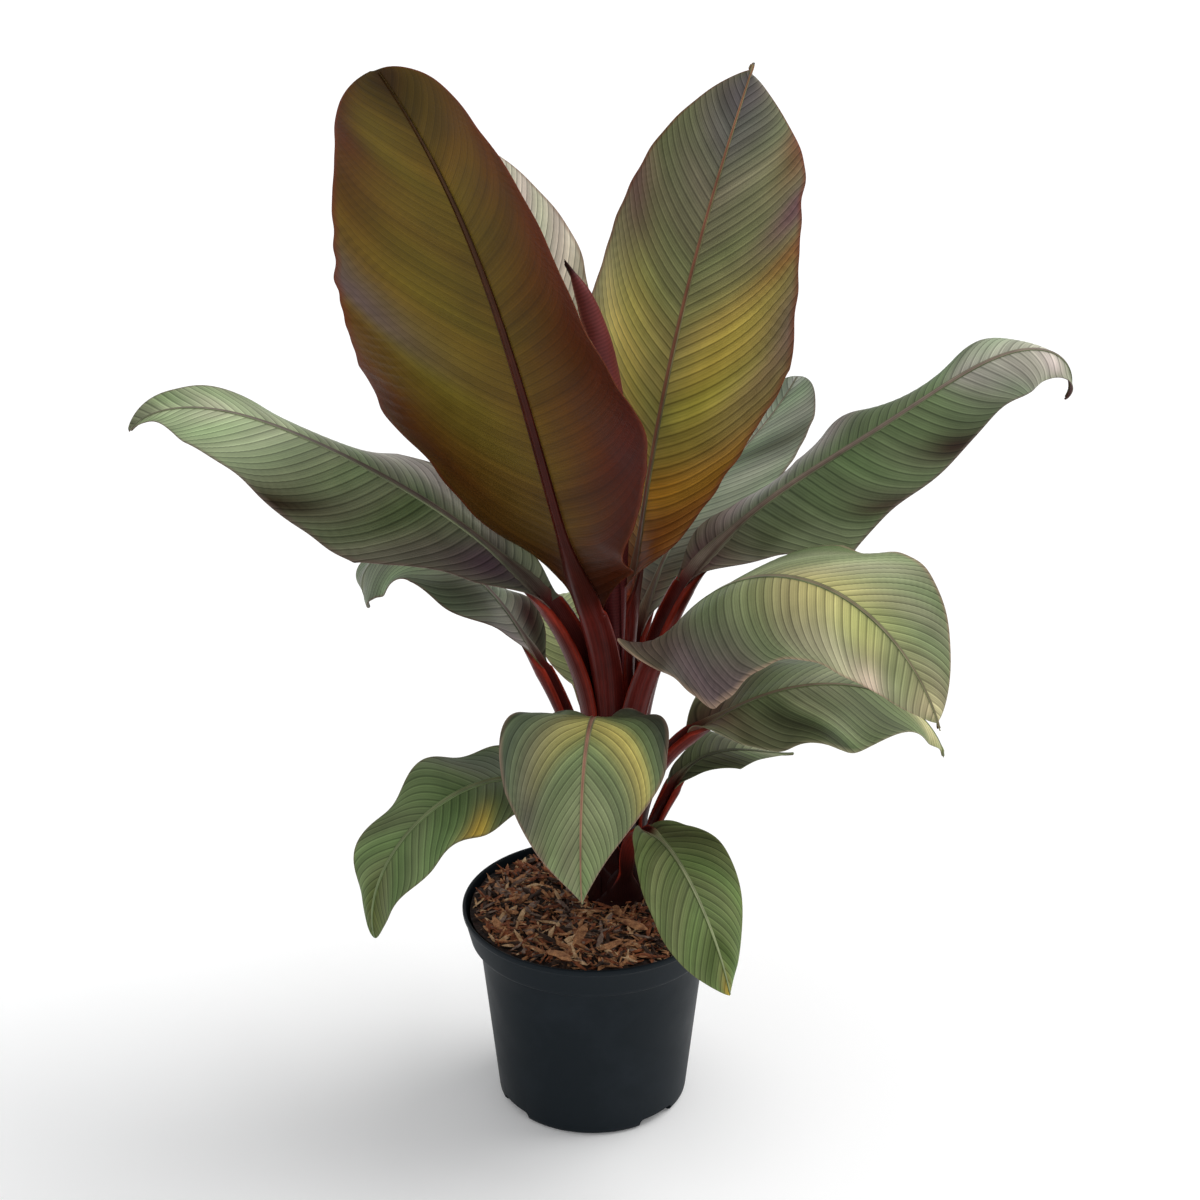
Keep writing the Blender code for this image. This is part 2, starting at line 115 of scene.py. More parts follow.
# Youngest leaf: rolled up on top of the false stem
ROLLED_LENGTH = 0.475
ROLLED_FACING = 170
ROLLED_LEAN = 32
ROLLED_STIFFNESS = 5         # how late along its length it leans
ROLLED_RADII = (             # share of the length, radius
    (0, 0.0062), (0.2, 0.0085), (0.5, 0.0140), (0.70, 0.0162), (0.84, 0.0140),
    (0.93, 0.0098), (0.965, 0.0066), (0.985, 0.0036), (1, 0.0008),
)
ROLLED_TURNS = 2.4
ROLLED_SMOOTHING = 0.03      # share of the length over which the radii are evened out
ROLLED_WALL = 0.0009

# Pot
POT_PROFILE = (              # radius and height, up the outer side, over the rim and down
    (0.0815, 0.0000), (0.0843, 0.0005), (0.0865, 0.0020), (0.0880, 0.0042), (0.0885, 0.0070),
    (0.0930, 0.0500), (0.0982, 0.1000), (0.1030, 0.1450), (0.1053, 0.1612), (0.1058, 0.1626),
    (0.1072, 0.1640), (0.1100, 0.1655), (0.1122, 0.1664), (0.1132, 0.1680), (0.1137, 0.1702),
    (0.1160, 0.1795), (0.1184, 0.1895), (0.1190, 0.1916), (0.1199, 0.1924), (0.1201, 0.1938),
    (0.1201, 0.1958), (0.1197, 0.1967), (0.1189, 0.1971), (0.1180, 0.1971), (0.1173, 0.1966),
    (0.1169, 0.1955), (0.1160, 0.1900), (0.1112, 0.1700), (0.1104, 0.1675), (0.1060, 0.1645),
    (0.1032, 0.1615), (0.1006, 0.1400), (0.0905, 0.0500), (0.0860, 0.0130), (0.0842, 0.0078),
    (0.0800, 0.0062), (0.0400, 0.0060),
)
NOTCH_ANGLES = (-146, -47, 43, 133)
NOTCH_REACH = 0.0885         # from the pot's axis to the middle of a drainage notch
NOTCH_SIZE = (0.024, 0.040, 0.018)
NOTCH_ROUNDING = 0.004

# Mulch and the bark chips on it
BED_RADIUS = 0.1130
BED_LEVEL = 0.1925
BED_UNDERSIDE = 0.172
CHIP_KINDS = (               # name, share of all, dark and pale colours
    ("tan", 0.27, "#76492f", "#d39a69"),
    ("rust", 0.27, "#552a17", "#a8633c"),
    ("dark", 0.23, "#1a0f0b", "#4e3626"),
    ("grey", 0.13, "#564236", "#a48c7c"),
    ("cream", 0.10, "#a67b52", "#ecc99c"),
)
CHIP_RINGS = 5
CHIP_SIDES = 6
BIG_CHIPS = (                # place, compass angle and length of the chips that lie on top
    (-0.011, -0.057, 72, 0.034), (0.036, -0.041, -40, 0.036),
    (-0.029, -0.094, -42, 0.028), (0.017, -0.076, 35, 0.026),
)
BIG_CHIP_WIDTH = 0.010
BIG_CHIP_DEPTH = 0.003
CHIP_REACH = 0.1085          # furthest middle of a chip
CHIP_LIMIT = 0.1120          # furthest point of a chip, inside the pot's wall
CHIP_CEILING = 0.2020

# Stage: the camera, in metres and degrees, and the lights
CAMERA_PLACE = (0, -2.067, 1.416)
CAMERA_DOWN = 23.85
CAMERA_RIGHT = 0.193
SENSOR_WIDTH = 36
LIGHT_FROM = (1.3, 0.5, 1.7)
LIGHT_SPREAD = 46
FLOOR_SIZE = 60
FLOOR_GLOW = 0.09            # lifts the paper to the white of the backdrop
AIR_COLOUR = (0.97, 0.98, 1.0, 1)


@dataclass
class Leaf:
    """A petiole that rises from the false stem, and the blade that it carries."""

    name: str
    facing: float            # compass angle of the petiole's foot
    height: float            # of the petiole's foot, above the ground
    petiole: float           # length
    blade: float             # length along the midrib
    half_width: tuple        # left and right of the midrib, where widest
    lean: tuple              # from upright at the foot, neck, middle and tip
    hook: float = 0          # further lean, near the tip only
    turn: float = 0          # change of compass angle up the petiole
    swing: float = 0         # change of compass angle along the blade
    roll: tuple = (0, 0)     # about the midrib, at the neck and the tip
    fold: tuple = (10, 10)   # rise of the left and right half, beside the midrib
    curl: tuple = (-15, -15)  # further rise of the half, from midrib to margin
    widest: float = 0.50     # share of the blade's length
    outline: tuple = (1.9, 2.0, 0.8)  # fullness of base and tip, bluntness of tip
    waves: float = 2.0       # waves along a margin
    wave: tuple = (0, 0)     # height of the waves at the left and right margin
    phase: tuple = (0, 0)    # share of a wave by which they start late
    opening: float = 0.18    # share of the blade over which its channel opens out
    level: float = 1         # how far the section flattens out at the tip
    drip: float = 0          # how far the last of the blade narrows to a drawn-out tip
    thread: float = 0        # share of the length that is a withered thread at the tip
    stalk: float = 1         # how much broader the petiole is than its length suggests
    bulge: tuple = (0, 0.5, 0, 1)   # side, place, added share and spread of a fuller margin
    cut: float = 1           # share of the blade where its solid is split in two


LEAVES = (
    Leaf("tall_left", facing=-124, height=0.326, petiole=0.166, blade=0.542,
         half_width=(0.140, 0.169), lean=(-3, 21, 18, 34), turn=-14, swing=-20, roll=(25, 57),
         fold=(-15, 13), curl=(-40, 11), widest=0.44, outline=(1.51, 1.07, 0.44), waves=1.5,
         wave=(0.029, 0.016), phase=(0.80, 0.71), level=0.32,
         bulge=(1, 0.33, 0.085, 0.045)),
    Leaf("tall_right", facing=56, height=0.322, petiole=0.151, blade=0.502,
         half_width=(0.136, 0.127), lean=(0, 8, 19, 40), turn=-13, swing=19, roll=(-28, 9),
         fold=(2, -2), curl=(-6, -16), widest=0.5, outline=(1.09, 1.29, 0.75), waves=1.48,
         wave=(0.015, 0.010), phase=(0.87, 0.35), thread=0.02,
         bulge=(1, 0.88, 0.24, 0.085)),
    Leaf("tall_back", facing=140, height=0.321, petiole=0.166, blade=0.440,
         half_width=(0.086, 0.087), lean=(0, 11, 27, 18), turn=-5, swing=-4, roll=(5, -4),
         fold=(16, 13), curl=(-8, -10), widest=0.66, outline=(1.3, 1.9, 1.2)),
    Leaf("left", facing=178, height=0.316, petiole=0.179, blade=0.428, half_width=(0.093, 0.067),
         lean=(-2, 34, 60, 50), hook=90, turn=2, swing=-6, roll=(-30, -9), fold=(1, -10),
         curl=(-16, -23), widest=0.42, outline=(0.88, 2.2, 0.87), waves=1.55, wave=(0.006, 0.027),
         phase=(0.95, 0.86), drip=0.5, stalk=1.3),
    Leaf("left_low", facing=146, height=0.276, petiole=0.142, blade=0.260,
         half_width=(0.055, 0.061), lean=(16, 33, 68, 148), hook=65, turn=1, swing=36,
         roll=(5, -10), fold=(-4, -4), curl=(-17, -15), widest=0.57, outline=(1.13, 1.94, 0.22),
         waves=2.45, wave=(0.010, 0.021), phase=(0.84, 0.83), level=0.68, cut=0.62),
    Leaf("back_right", facing=58, height=0.306, petiole=0.138, blade=0.344,
         half_width=(0.070, 0.067), lean=(4, 19, 73, 51), turn=2, swing=-7, roll=(-11, -17),
         fold=(-7, 7), curl=(-46, -16), widest=0.52, outline=(1.75, 1.95, 0.45)),
    Leaf("right", facing=0, height=0.318, petiole=0.194, blade=0.452, half_width=(0.060, 0.078),
         lean=(3, 27, 55, -24), hook=244, turn=7, swing=15, roll=(25, 24), fold=(-11, -28),
         curl=(-43, -45), widest=0.32, outline=(0.80, 0.87, 0.50), waves=3.27, wave=(0.013, 0.006),
         phase=(0.79, 0.93), drip=0.4,
         bulge=(-1, 0.80, 0.40, 0.07)),
    Leaf("right_arching", facing=-56, height=0.292, petiole=0.158, blade=0.417,
         half_width=(0.112, 0.110), lean=(3, 24, 76, 154), turn=10, swing=-5, roll=(-12, 18),
         fold=(10, -13), curl=(-18, -65), widest=0.4, outline=(1.65, 1, 0.7), waves=1.85,
         wave=(0.017, 0.012), phase=(0.83, 0.04), cut=0.55, thread=0.015),
    Leaf("right_low", facing=-12, height=0.271, petiole=0.107, blade=0.278,
         half_width=(0.130, 0.074), lean=(9, 49, 92, 166), turn=10, swing=11, roll=(9, -12),
         fold=(0, -9), curl=(-19, -35), widest=0.49, outline=(1.55, 1.45, 0.95), waves=2.8,
         wave=(0.009, 0.008), phase=(0.59, 0.1), cut=0.6, thread=0.02),
    Leaf("right_small", facing=20, height=0.225, petiole=0.076, blade=0.149,
         half_width=(0.030, 0.025), lean=(23, 29, 102, 100), turn=11, roll=(30, -6),
         fold=(13, 11), curl=(-27, -28), widest=0.46, outline=(0.8, 1.05, 1.2)),
    Leaf("back_low", facing=102, height=0.280, petiole=0.085, blade=0.210,
         half_width=(0.044, 0.044), lean=(6, 34, 80, 120), turn=4, swing=6,
         fold=(12, 12), curl=(-20, -20), waves=2.2, wave=(0.004, 0.005), phase=(0.1, 0.6)),
    Leaf("back_lowest", facing=88, height=0.240, petiole=0.085, blade=0.190,
         half_width=(0.038, 0.038), lean=(14, 48, 100, 150), turn=4, swing=8,
         fold=(12, 10), curl=(-15, -20), waves=2, wave=(0.005, 0.004), phase=(0.5, 0.2),
         cut=0.55),
    Leaf("front", facing=-103, height=0.268, petiole=0.146, blade=0.231,
         half_width=(0.071, 0.075), lean=(16, 27, 124, 129), turn=5, swing=12, roll=(-6, 32),
         fold=(4, 1), curl=(2, -6), widest=0.52, outline=(2.45, 1.54, 1.22), waves=1.79,
         wave=(0.002, 0.018), phase=(0.80, 0.72), opening=0.15, cut=0.35),
    Leaf("front_left", facing=-146, height=0.254, petiole=0.098, blade=0.270,
         half_width=(0.041, 0.035), lean=(16, 56, 110, 193), turn=9, swing=-14, roll=(-13, -8),
         fold=(-4, 19), curl=(-26, -4), widest=0.38, outline=(2.3, 2.1, 0.7), waves=3.35,
         wave=(0.006, 0.009), phase=(0.42, 0.8), cut=0.5),
    Leaf("front_right", facing=-66, height=0.233, petiole=0.080, blade=0.199,
         half_width=(0.038, 0.042), lean=(17, 63, 122, 164), turn=-2, swing=23, roll=(4, -6),
         fold=(12, -3), curl=(-7, -31), widest=0.52, outline=(1.95, 2.3, 0.8), waves=0.95,
         wave=(0.010, 0.008), phase=(0.93, 0.01), cut=0.4),
)


# Tints: the colours of each leaf's two faces, among them painted sheen, reflection, shade and
# glow, marked where they stand

@dataclass
class Patch:
    """A soft tint on one face of a blade, streaked along its veins."""

    colour: str
    across: float            # its middle, from -1 at the left margin to 1 at the right one
    along: float             # and from 0 at the neck to 1 at the tip
    wide: float              # half its width, as a share of the half blade
    long: float              # half its length, as a share of the blade
    strength: float = 1
    lower: bool = False      # on the lower face


@dataclass
class Skin:
    """The tints of one leaf."""

    upper: str = "#6a7250"
    lower: str = "#5b3430"
    margin: str = "#7a4a3c"
    base: str = "#4f3531"    # beside the neck
    rib: str = "#8c5e48"     # the midrib on the upper face
    rake: tuple = (0.30, 1.30)  # how far the veins slant to the tip, at the neck and the tip
    lines: tuple = (1.0, 0.6)   # how strongly the painted shade in the vein furrows and the painted highlight on their ridges show, on the upper and the lower face
    patches: tuple = ()


SKINS = {
    "tall_left": Skin(
        # Its olive lower face is painted glow of light shining through the blade
        upper="#6c6a44", lower="#665a1a", margin="#6a2e1a", base="#331012", rib="#9a5a42",
        lines=(1.0, 0.38),
        patches=(
            Patch("#561a04", -0.98, 0.44, 0.95, 0.55, 1, True),
            Patch("#461004", -0.90, 0.22, 0.62, 0.22, 0.95, True),
            Patch("#4e2606", 0.98, 0.76, 0.46, 0.28, 1, True),
            Patch("#625250", 0.95, 0.40, 0.42, 0.06, 1, True),
            Patch("#5c2a0a", 0.98, 0.20, 0.46, 0.13, 1, True),
            Patch("#2c1602", 0.00, 1.00, 1.30, 0.14, 0.9, True),
            Patch("#380d08", 0.00, 0.04, 1.20, 0.16, 0.95, True),
            Patch("#8a7c38", 0.30, 0.45, 0.40, 0.20, 0.6),
            Patch("#7c5a3a", -0.85, 0.60, 0.30, 0.40, 0.7),
        )),
    "tall_right": Skin(
        upper="#84865e", lower="#5a2f24", margin="#7a4230", base="#c4562a", rib="#96644e",
        patches=(
            # Painted sheen: the mauve-greys #625a60, #74505a, #6c5064 and #7e5e5a
            Patch("#625a60", 0.00, 0.94, 1.20, 0.20, 0.9),
            Patch("#74462e", 0.95, 0.70, 0.30, 0.05, 0.9),
            Patch("#7e4a34", 0.90, 0.49, 0.40, 0.06, 1),
            Patch("#74505a", 0.95, 0.60, 0.32, 0.04, 0.9),
            Patch("#6c5064", 0.95, 0.36, 0.36, 0.06, 0.9),
            Patch("#5a2c20", 0.95, 0.18, 0.40, 0.08, 0.9),
            # Painted glow of light through the blade: #dcc858, #e0d06c and the orange-yellow
            # #d49a2c
            Patch("#dcc858", 0.40, 0.40, 0.44, 0.12, 0.9),
            Patch("#e0d06c", -0.50, 0.37, 0.36, 0.13, 0.9),
            Patch("#7e5e5a", -0.90, 0.56, 0.32, 0.10, 0.8),
            Patch("#d49a2c", 0.20, 0.20, 0.90, 0.10, 0.9),
            Patch("#7c3414", 0.55, 0.10, 0.60, 0.06, 0.9),
            Patch("#a24412", 0.00, 0.04, 1.20, 0.08, 1),
        )),
    "tall_back": Skin(
        # Its pale whitish upper face and the pale patch are painted sheen, the sky's reflection
        # over the green
        upper="#d2cabe", lower="#6a4038", margin="#9a7a66", base="#745a50", rib="#9c7c66",
        patches=(
            Patch("#ded4bc", 0.85, 0.55, 0.30, 0.40, 0.8),
        )),
    "left": Skin(
        upper="#8a9470", lower="#5b3a36", margin="#75645a", base="#44302e", rib="#7a7064",
        patches=(
            Patch("#a2ae88", 0.00, 0.76, 1.30, 0.22, 1),
            # The pale grey #bab4aa is painted reflection of the sky
            Patch("#bab4aa", 0.75, 0.28, 0.55, 0.18, 0.9),
            Patch("#66545a", -0.40, 0.14, 0.90, 0.12, 1),
            Patch("#66704e", -0.30, 0.34, 0.60, 0.06, 0.8),
            Patch("#382c1c", -0.95, 0.44, 0.38, 0.06, 1),
            Patch("#5c4c4a", 0.00, 1.00, 1.20, 0.05, 1),
        )),
    "left_low": Skin(
        upper="#78826a", lower="#6a6a26", margin="#6e5a4c", base="#48302e", rib="#6e6258",
        patches=(
            Patch("#8c8280", -0.70, 0.12, 0.80, 0.12, 0.9),
            # The dark patch on the far half by the neck is painted shade over its mauve-brown
            Patch("#38221e", 0.60, 0.12, 0.60, 0.14, 1),
            Patch("#565e4a", -0.60, 0.34, 0.60, 0.06, 0.9),
            Patch("#94a47e", -0.40, 0.54, 0.80, 0.07, 0.8),
            Patch("#545020", 0.00, 0.96, 1.20, 0.10, 1),
        )),
    "back_right": Skin(
        upper="#87927a", lower="#60413a", margin="#7a6a5c", base="#5a342a", rib="#74604e",
        patches=(
            Patch("#9aa68a", 0.50, 0.46, 0.90, 0.07, 0.9),
            Patch("#4c503c", 0.60, 0.62, 0.90, 0.05, 0.9),
            Patch("#5e4c3e", 0.00, 0.12, 1.20, 0.14, 1),
            # The pale grey at the tip is painted reflection of the sky
            Patch("#c6cabe", 0.00, 0.98, 1.20, 0.05, 0.8),
        )),
    "right": Skin(
        upper="#64734f", lower="#55312a", margin="#706058", base="#55281e", rib="#8a7c6e",
        patches=(
            # The pale greys #c0bab2, #a8aa98 and #d6d0be are painted reflection of the sky
            Patch("#c0bab2", -0.70, 0.24, 0.50, 0.12, 0.9),
            Patch("#6a4c52", 0.00, 0.06, 1.20, 0.10, 0.9),
            Patch("#3a2a22", 0.95, 0.33, 0.35, 0.05, 0.9),
            Patch("#2e2016", 0.90, 0.52, 0.40, 0.06, 1),
            Patch("#a8aa98", 0.00, 0.72, 1.30, 0.08, 0.9),
            Patch("#d6d0be", 0.00, 0.85, 1.30, 0.09, 1),
            Patch("#6c281a", 0.00, 1.01, 1.20, 0.035, 1),
        )),
    "right_arching": Skin(
        upper="#6c7a54", lower="#573630", margin="#a58a74", base="#3e2620", rib="#867c60",
        rake=(0.40, 1.5),
        patches=(
            Patch("#a8b088", -0.60, 0.55, 0.70, 0.22, 0.9),
            Patch("#4e302e", 0.30, 0.05, 1.00, 0.10, 1),
            Patch("#6a585a", 0.85, 0.22, 0.50, 0.13, 1),
            Patch("#c6c27c", 0.12, 0.62, 0.45, 0.16, 1),
            Patch("#dccdae", 0.85, 0.68, 0.40, 0.14, 0.9),
            Patch("#d2c298", 0.00, 0.96, 1.20, 0.10, 0.8),
        )),
    "right_low": Skin(
        upper="#66744e", lower="#55382f", margin="#8f8a6c", base="#463428", rib="#786c54",
        rake=(0.5, 1.6),
        patches=(
            Patch("#5a4a3a", 0.00, 0.07, 1.20, 0.09, 1),
            Patch("#464a34", 0.80, 0.24, 0.50, 0.04, 0.9),
            Patch("#949a74", 0.60, 0.34, 0.60, 0.035, 0.8),
            Patch("#c0c49c", -0.50, 0.46, 0.50, 0.12, 0.8),
            Patch("#ccc88c", 0.00, 0.86, 1.30, 0.15, 0.9),
        )),
    "right_small": Skin(
        upper="#5c6448", lower="#55382f", margin="#7c805c", base="#444030", rib="#6a7056",
        rake=(0.6, 1.8),
        patches=(
            Patch("#4a4c38", 0.00, 0.07, 1.20, 0.10, 1),
            Patch("#a0aa80", 0.00, 0.74, 1.30, 0.28, 1),
        )),
    "back_low": Skin(
        upper="#98a070", lower="#8c9468", margin="#a08c70", base="#6a5c48",
        patches=(Patch("#74824f", 0.60, 0.50, 0.60, 0.20, 0.7),)),
    "back_lowest": Skin(
        upper="#66744c", lower="#5b4a38", margin="#8a7c5c", base="#5a4c40",
        patches=(Patch("#8f9a5a", -0.30, 0.60, 0.50, 0.20, 0.7),)),
    "front": Skin(
        upper="#7e8a62", lower="#6a4a3c", margin="#8a7262", base="#60523c", rib="#a87e68",
        rake=(0.75, 2.2),
        patches=(
            Patch("#cab86a", -0.45, 0.27, 0.90, 0.06, 1),
            Patch("#625e56", 0.85, 0.28, 0.50, 0.12, 0.8),
            Patch("#9ea258", 0.15, 0.20, 0.40, 0.10, 0.8),
            Patch("#a2ac7c", -0.40, 0.72, 0.80, 0.18, 0.6),
            Patch("#6e6050", 1.00, 0.55, 0.20, 0.06, 0.8),
            Patch("#50564a", -1.00, 0.04, 0.50, 0.09, 0.9),
            Patch("#50564a", 1.00, 0.04, 0.50, 0.09, 0.9),
        )),
    "front_left": Skin(
        upper="#6a7c50", lower="#5f4a34", margin="#6f6a50", base="#524a40", rib="#7c8860",
        rake=(0.60, 1.9),
        patches=(
            Patch("#6c7064", 0.50, 0.18, 0.90, 0.12, 0.9),
            Patch("#dcb850", -0.98, 0.27, 0.36, 0.055, 1),
            Patch("#545c28", 0.00, 0.92, 1.20, 0.16, 0.9),
        )),
    "front_right": Skin(
        upper="#6a7c4a", lower="#5f5434", margin="#747a4c", base="#524632", rib="#98a078",
        rake=(0.70, 2.0),
        patches=(
            Patch("#545838", -0.60, 0.14, 0.70, 0.10, 0.8),
            Patch("#8c9864", 0.80, 0.30, 0.50, 0.30, 0.6),
            Patch("#526630", -0.20, 0.76, 0.80, 0.09, 0.8),
            Patch("#c8ae3c", 0.00, 1.00, 1.10, 0.08, 1),
        )),
}

SHEATH_TINT = "#240a08"
PETIOLE_TINT = "#561a15"
# The petioles' red edges, painted brighter as highlights
PETIOLE_EDGE_AND_HIGHLIGHT_TINT = "#8f2c1b"
RIB_BELOW_TINT = "#40120b"
RIB_TIP_TINT = "#4c3c1c"
ROLLED_TINT = "#5e2728"
ROLLED_UPPER_TINT = "#733836"
ROLLED_FOOT_TINT = "#4a1a1e"
ROLLED_MARGIN_TINT = "#a0645a"
ROLLED_TIP_TINT = "#2a0c0c"
DUST_TINT = "#59606a"


# Sizes and colours that a user would change

class BananaFoliage(bpy.types.PropertyGroup):
    thickness: FloatProperty(name="Blade thickness", description="From face to face of a blade",
                             default=0.0010, unit="LENGTH")
    vein_spacing: FloatProperty(name="Vein spacing", description="Between two furrowed veins",
                                default=0.0095, unit="LENGTH")
    vein_relief: FloatProperty(name="Vein relief", description="Height of the ribs between veins",
                               default=0.00028, unit="LENGTH")
    row_spacing: FloatProperty(name="Row spacing", description="Between mesh rows of a blade",
                               default=0.0017, unit="LENGTH")
    columns: IntProperty(name="Columns", description="Mesh columns over a blade", default=40)
    stalk_columns: IntProperty(name="Stalk columns", description="Mesh columns over a petiole",
                               default=16)


class BananaPot(bpy.types.PropertyGroup):
    colour: StringProperty(name="Colour", description="sRGB hex of the plastic",
                           default="#10191f")
    sides: IntProperty(name="Sides", description="Segments round the pot", default=144)
    wall: FloatProperty(name="Wall", description="Thickness of the moulded wall",
                        default=0.0025, unit="LENGTH")


class BananaMulch(bpy.types.PropertyGroup):
    chips: IntProperty(name="Chips", description="Bark chips and strands in all", default=2600)
    seed: IntProperty(name="Seed", description="Start of the random draws", default=11)


class BananaStudio(bpy.types.PropertyGroup):
    floor: StringProperty(name="Floor", description="sRGB hex of the floor", default="#fafaf9")
    lens: FloatProperty(name="Lens", description="Focal length in mm on a 36 mm sensor",
                        default=77.4)
    sun: FloatProperty(name="Soft light", description="Strength of the light from the right",
                       default=1.9)
    air: FloatProperty(name="Air", description="Strength of the even light from all round",
                       default=0.62)


SETTINGS = (("banana_foliage", BananaFoliage), ("banana_pot", BananaPot),
            ("banana_mulch", BananaMulch), ("banana_studio", BananaStudio))


# Working with objects

def linear(text):
    """An sRGB hex colour as linear red, green and blue."""
    values = [int(text[start:start + 2], 16) / 255 for start in (1, 3, 5)]
    return np.array([value / 12.92 if value <= 0.04045 else ((value + 0.055) / 1.055) ** 2.4
                     for value in values])


def choose(*pieces):
    """Select these objects and nothing else, with the last one active."""
    if bpy.context.object and bpy.context.object.mode != "OBJECT":
        bpy.ops.object.mode_set(mode="OBJECT")
    bpy.ops.object.select_all(action="DESELECT")
    for piece in pieces:
        piece.select_set(True)
        bpy.context.view_layer.objects.active = piece


def added(name):
    """The object that a primitive operator has just made, with its name."""
    piece = bpy.context.object
    piece.name = name
    piece.data.name = name
    return piece


def modify(piece, kind, **settings):
    """Add a modifier with its settings, and apply it."""
    choose(piece)
    modifier = piece.modifiers.new(kind.lower(), kind)
    for key, value in settings.items():
        setattr(modifier, key, value)
    bpy.ops.object.modifier_apply(modifier=modifier.name)


def smoothed(piece, angle=SMOOTH_ANGLE):
    """Shade a piece smooth, except at edges sharper than this."""
    choose(piece)
    bpy.ops.object.shade_smooth_by_angle(angle=angle)


def dressed(piece, material, slot, *nodes):
    """Give a finished piece its material, and tie it to the frame."""
    piece.data.materials.clear()
    piece.data.materials.append(material)
    choose(piece)
    bpy.ops.object.transform_apply(location=True, rotation=True, scale=True)
    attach(piece, ROOT)
    if nodes:
        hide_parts(*nodes)
    return piece


def positions(mesh):
    """The vertices' places, one row each."""
    values = np.empty(len(mesh.vertices) * 3)
    mesh.vertices.foreach_get("co", values)
    return values.reshape(-1, 3)


def move_vertices(mesh, points):
    """Put the vertices at these places."""
    mesh.vertices.foreach_set("co", np.ascontiguousarray(points, float).ravel())
    mesh.update()


def grid(name, columns, rows):
    """A flat grid, with each vertex's share across (-1 to 1) and along (0 to 1)."""
    choose()
    bpy.ops.mesh.primitive_grid_add(x_subdivisions=columns, y_subdivisions=rows, size=2)
    piece = added(name)
    flat = positions(piece.data)
    return piece, flat[:, 0], (flat[:, 1] + 1) / 2


def set_uv(mesh, across, along):
    """Write the pattern coordinates, in metres, from two values at each vertex."""
    corners = np.empty(len(mesh.loops), int)
    mesh.loops.foreach_get("vertex_index", corners)
    values = np.stack([across[corners], along[corners]], -1)
    mesh.uv_layers[0].data.foreach_set("uv", values.ravel())


def set_tint(mesh, colours, strength=1):
    """Store a linear colour at each vertex, and the strength of the pattern on it."""
    layer = mesh.color_attributes.get("tint") or mesh.color_attributes.new(
        "tint", "FLOAT_COLOR", "POINT")
    values = np.ones((len(mesh.vertices), 4))
    values[:, :3] = np.clip(colours, 0, 1)
    values[:, 3] = strength
    layer.data.foreach_set("color", values.ravel())


# Materials

def add(tree, kind, inputs=(), stops=(), **settings):
    """Add a node with its settings, the stops of a ramp, and values or links on its inputs."""
    made = tree.nodes.new("ShaderNode" + kind)
    for key, value in settings.items():
        setattr(made, key, value)
    for key, value in dict(inputs).items():
        if isinstance(value, bpy.types.NodeSocket):
            tree.links.new(value, made.inputs[key])
        elif isinstance(value, str):
            made.inputs[key].default_value = (*linear(value), 1)
        else:
            made.inputs[key].default_value = value
    for _ in stops[2:]:
        made.color_ramp.elements.new(1)
    for index, (position, value) in enumerate(stops):
        element = made.color_ramp.elements[index]
        element.position = position
        element.color = (*linear(value), 1) if isinstance(value, str) else (value,) * 3 + (1,)
    return made


def new_material(name, roughness, ior=1.45, **settings):
    """A material with only its Principled shader, and the shader's fixed numbers set on it."""
    material = bpy.data.materials.new(name)
    material.use_nodes = True
    tree = material.node_tree
    shader = tree.nodes["Principled BSDF"]
    shader.inputs["Roughness"].default_value = roughness
    shader.inputs["IOR"].default_value = ior
    for key, value in settings.items():
        shader.inputs[key.replace("_", " ")].default_value = value
    return material, tree, shader


def band_scale(period):
    """The Wave Texture scale that repeats its bands every so many millimetres."""
    return 2 * math.pi / (20 * period / 1000)


def lump_scale(size):
    """The Noise Texture scale whose lumps are so many millimetres across."""
    return 1000 / size


def sources(tree):
    """The stored tint, the coordinates that follow a leaf, and those in space."""
    return (add(tree, "Attribute", attribute_name="tint"), add(tree, "UVMap").outputs["UV"],
            add(tree, "TexCoord").outputs["Object"])


def shaded(tree, colour, pattern, stops, strength=1.0):
    """A colour made darker or paler by a pattern, as (position, grey) stops say."""
    greys = add(tree, "ValToRGB", {"Fac": pattern}, stops).outputs["Color"]
    return add(tree, "Mix", {0: strength, 6: colour, 7: greys}, data_type="RGBA",
               blend_type="MULTIPLY").outputs[2]


def surfaced(tree, shader, colour, relief, strength, depth=0.0002):
    """Give the shader its colour, and a relief so many metres deep."""
    tree.links.new(colour, shader.inputs["Base Color"])
    bump = add(tree, "Bump", {"Height": relief, "Strength": strength, "Distance": depth})
    tree.links.new(bump.outputs["Normal"], shader.inputs["Normal"])


def uneven_gloss(tree, shader, pattern, start, end, least, most):
    """Let a pattern drive the roughness between two values."""
    gloss = add(tree, "MapRange", {"Value": pattern, "From Min": start, "From Max": end,
                                   "To Min": least, "To Max": most})
    tree.links.new(gloss.outputs["Result"], shader.inputs["Roughness"])


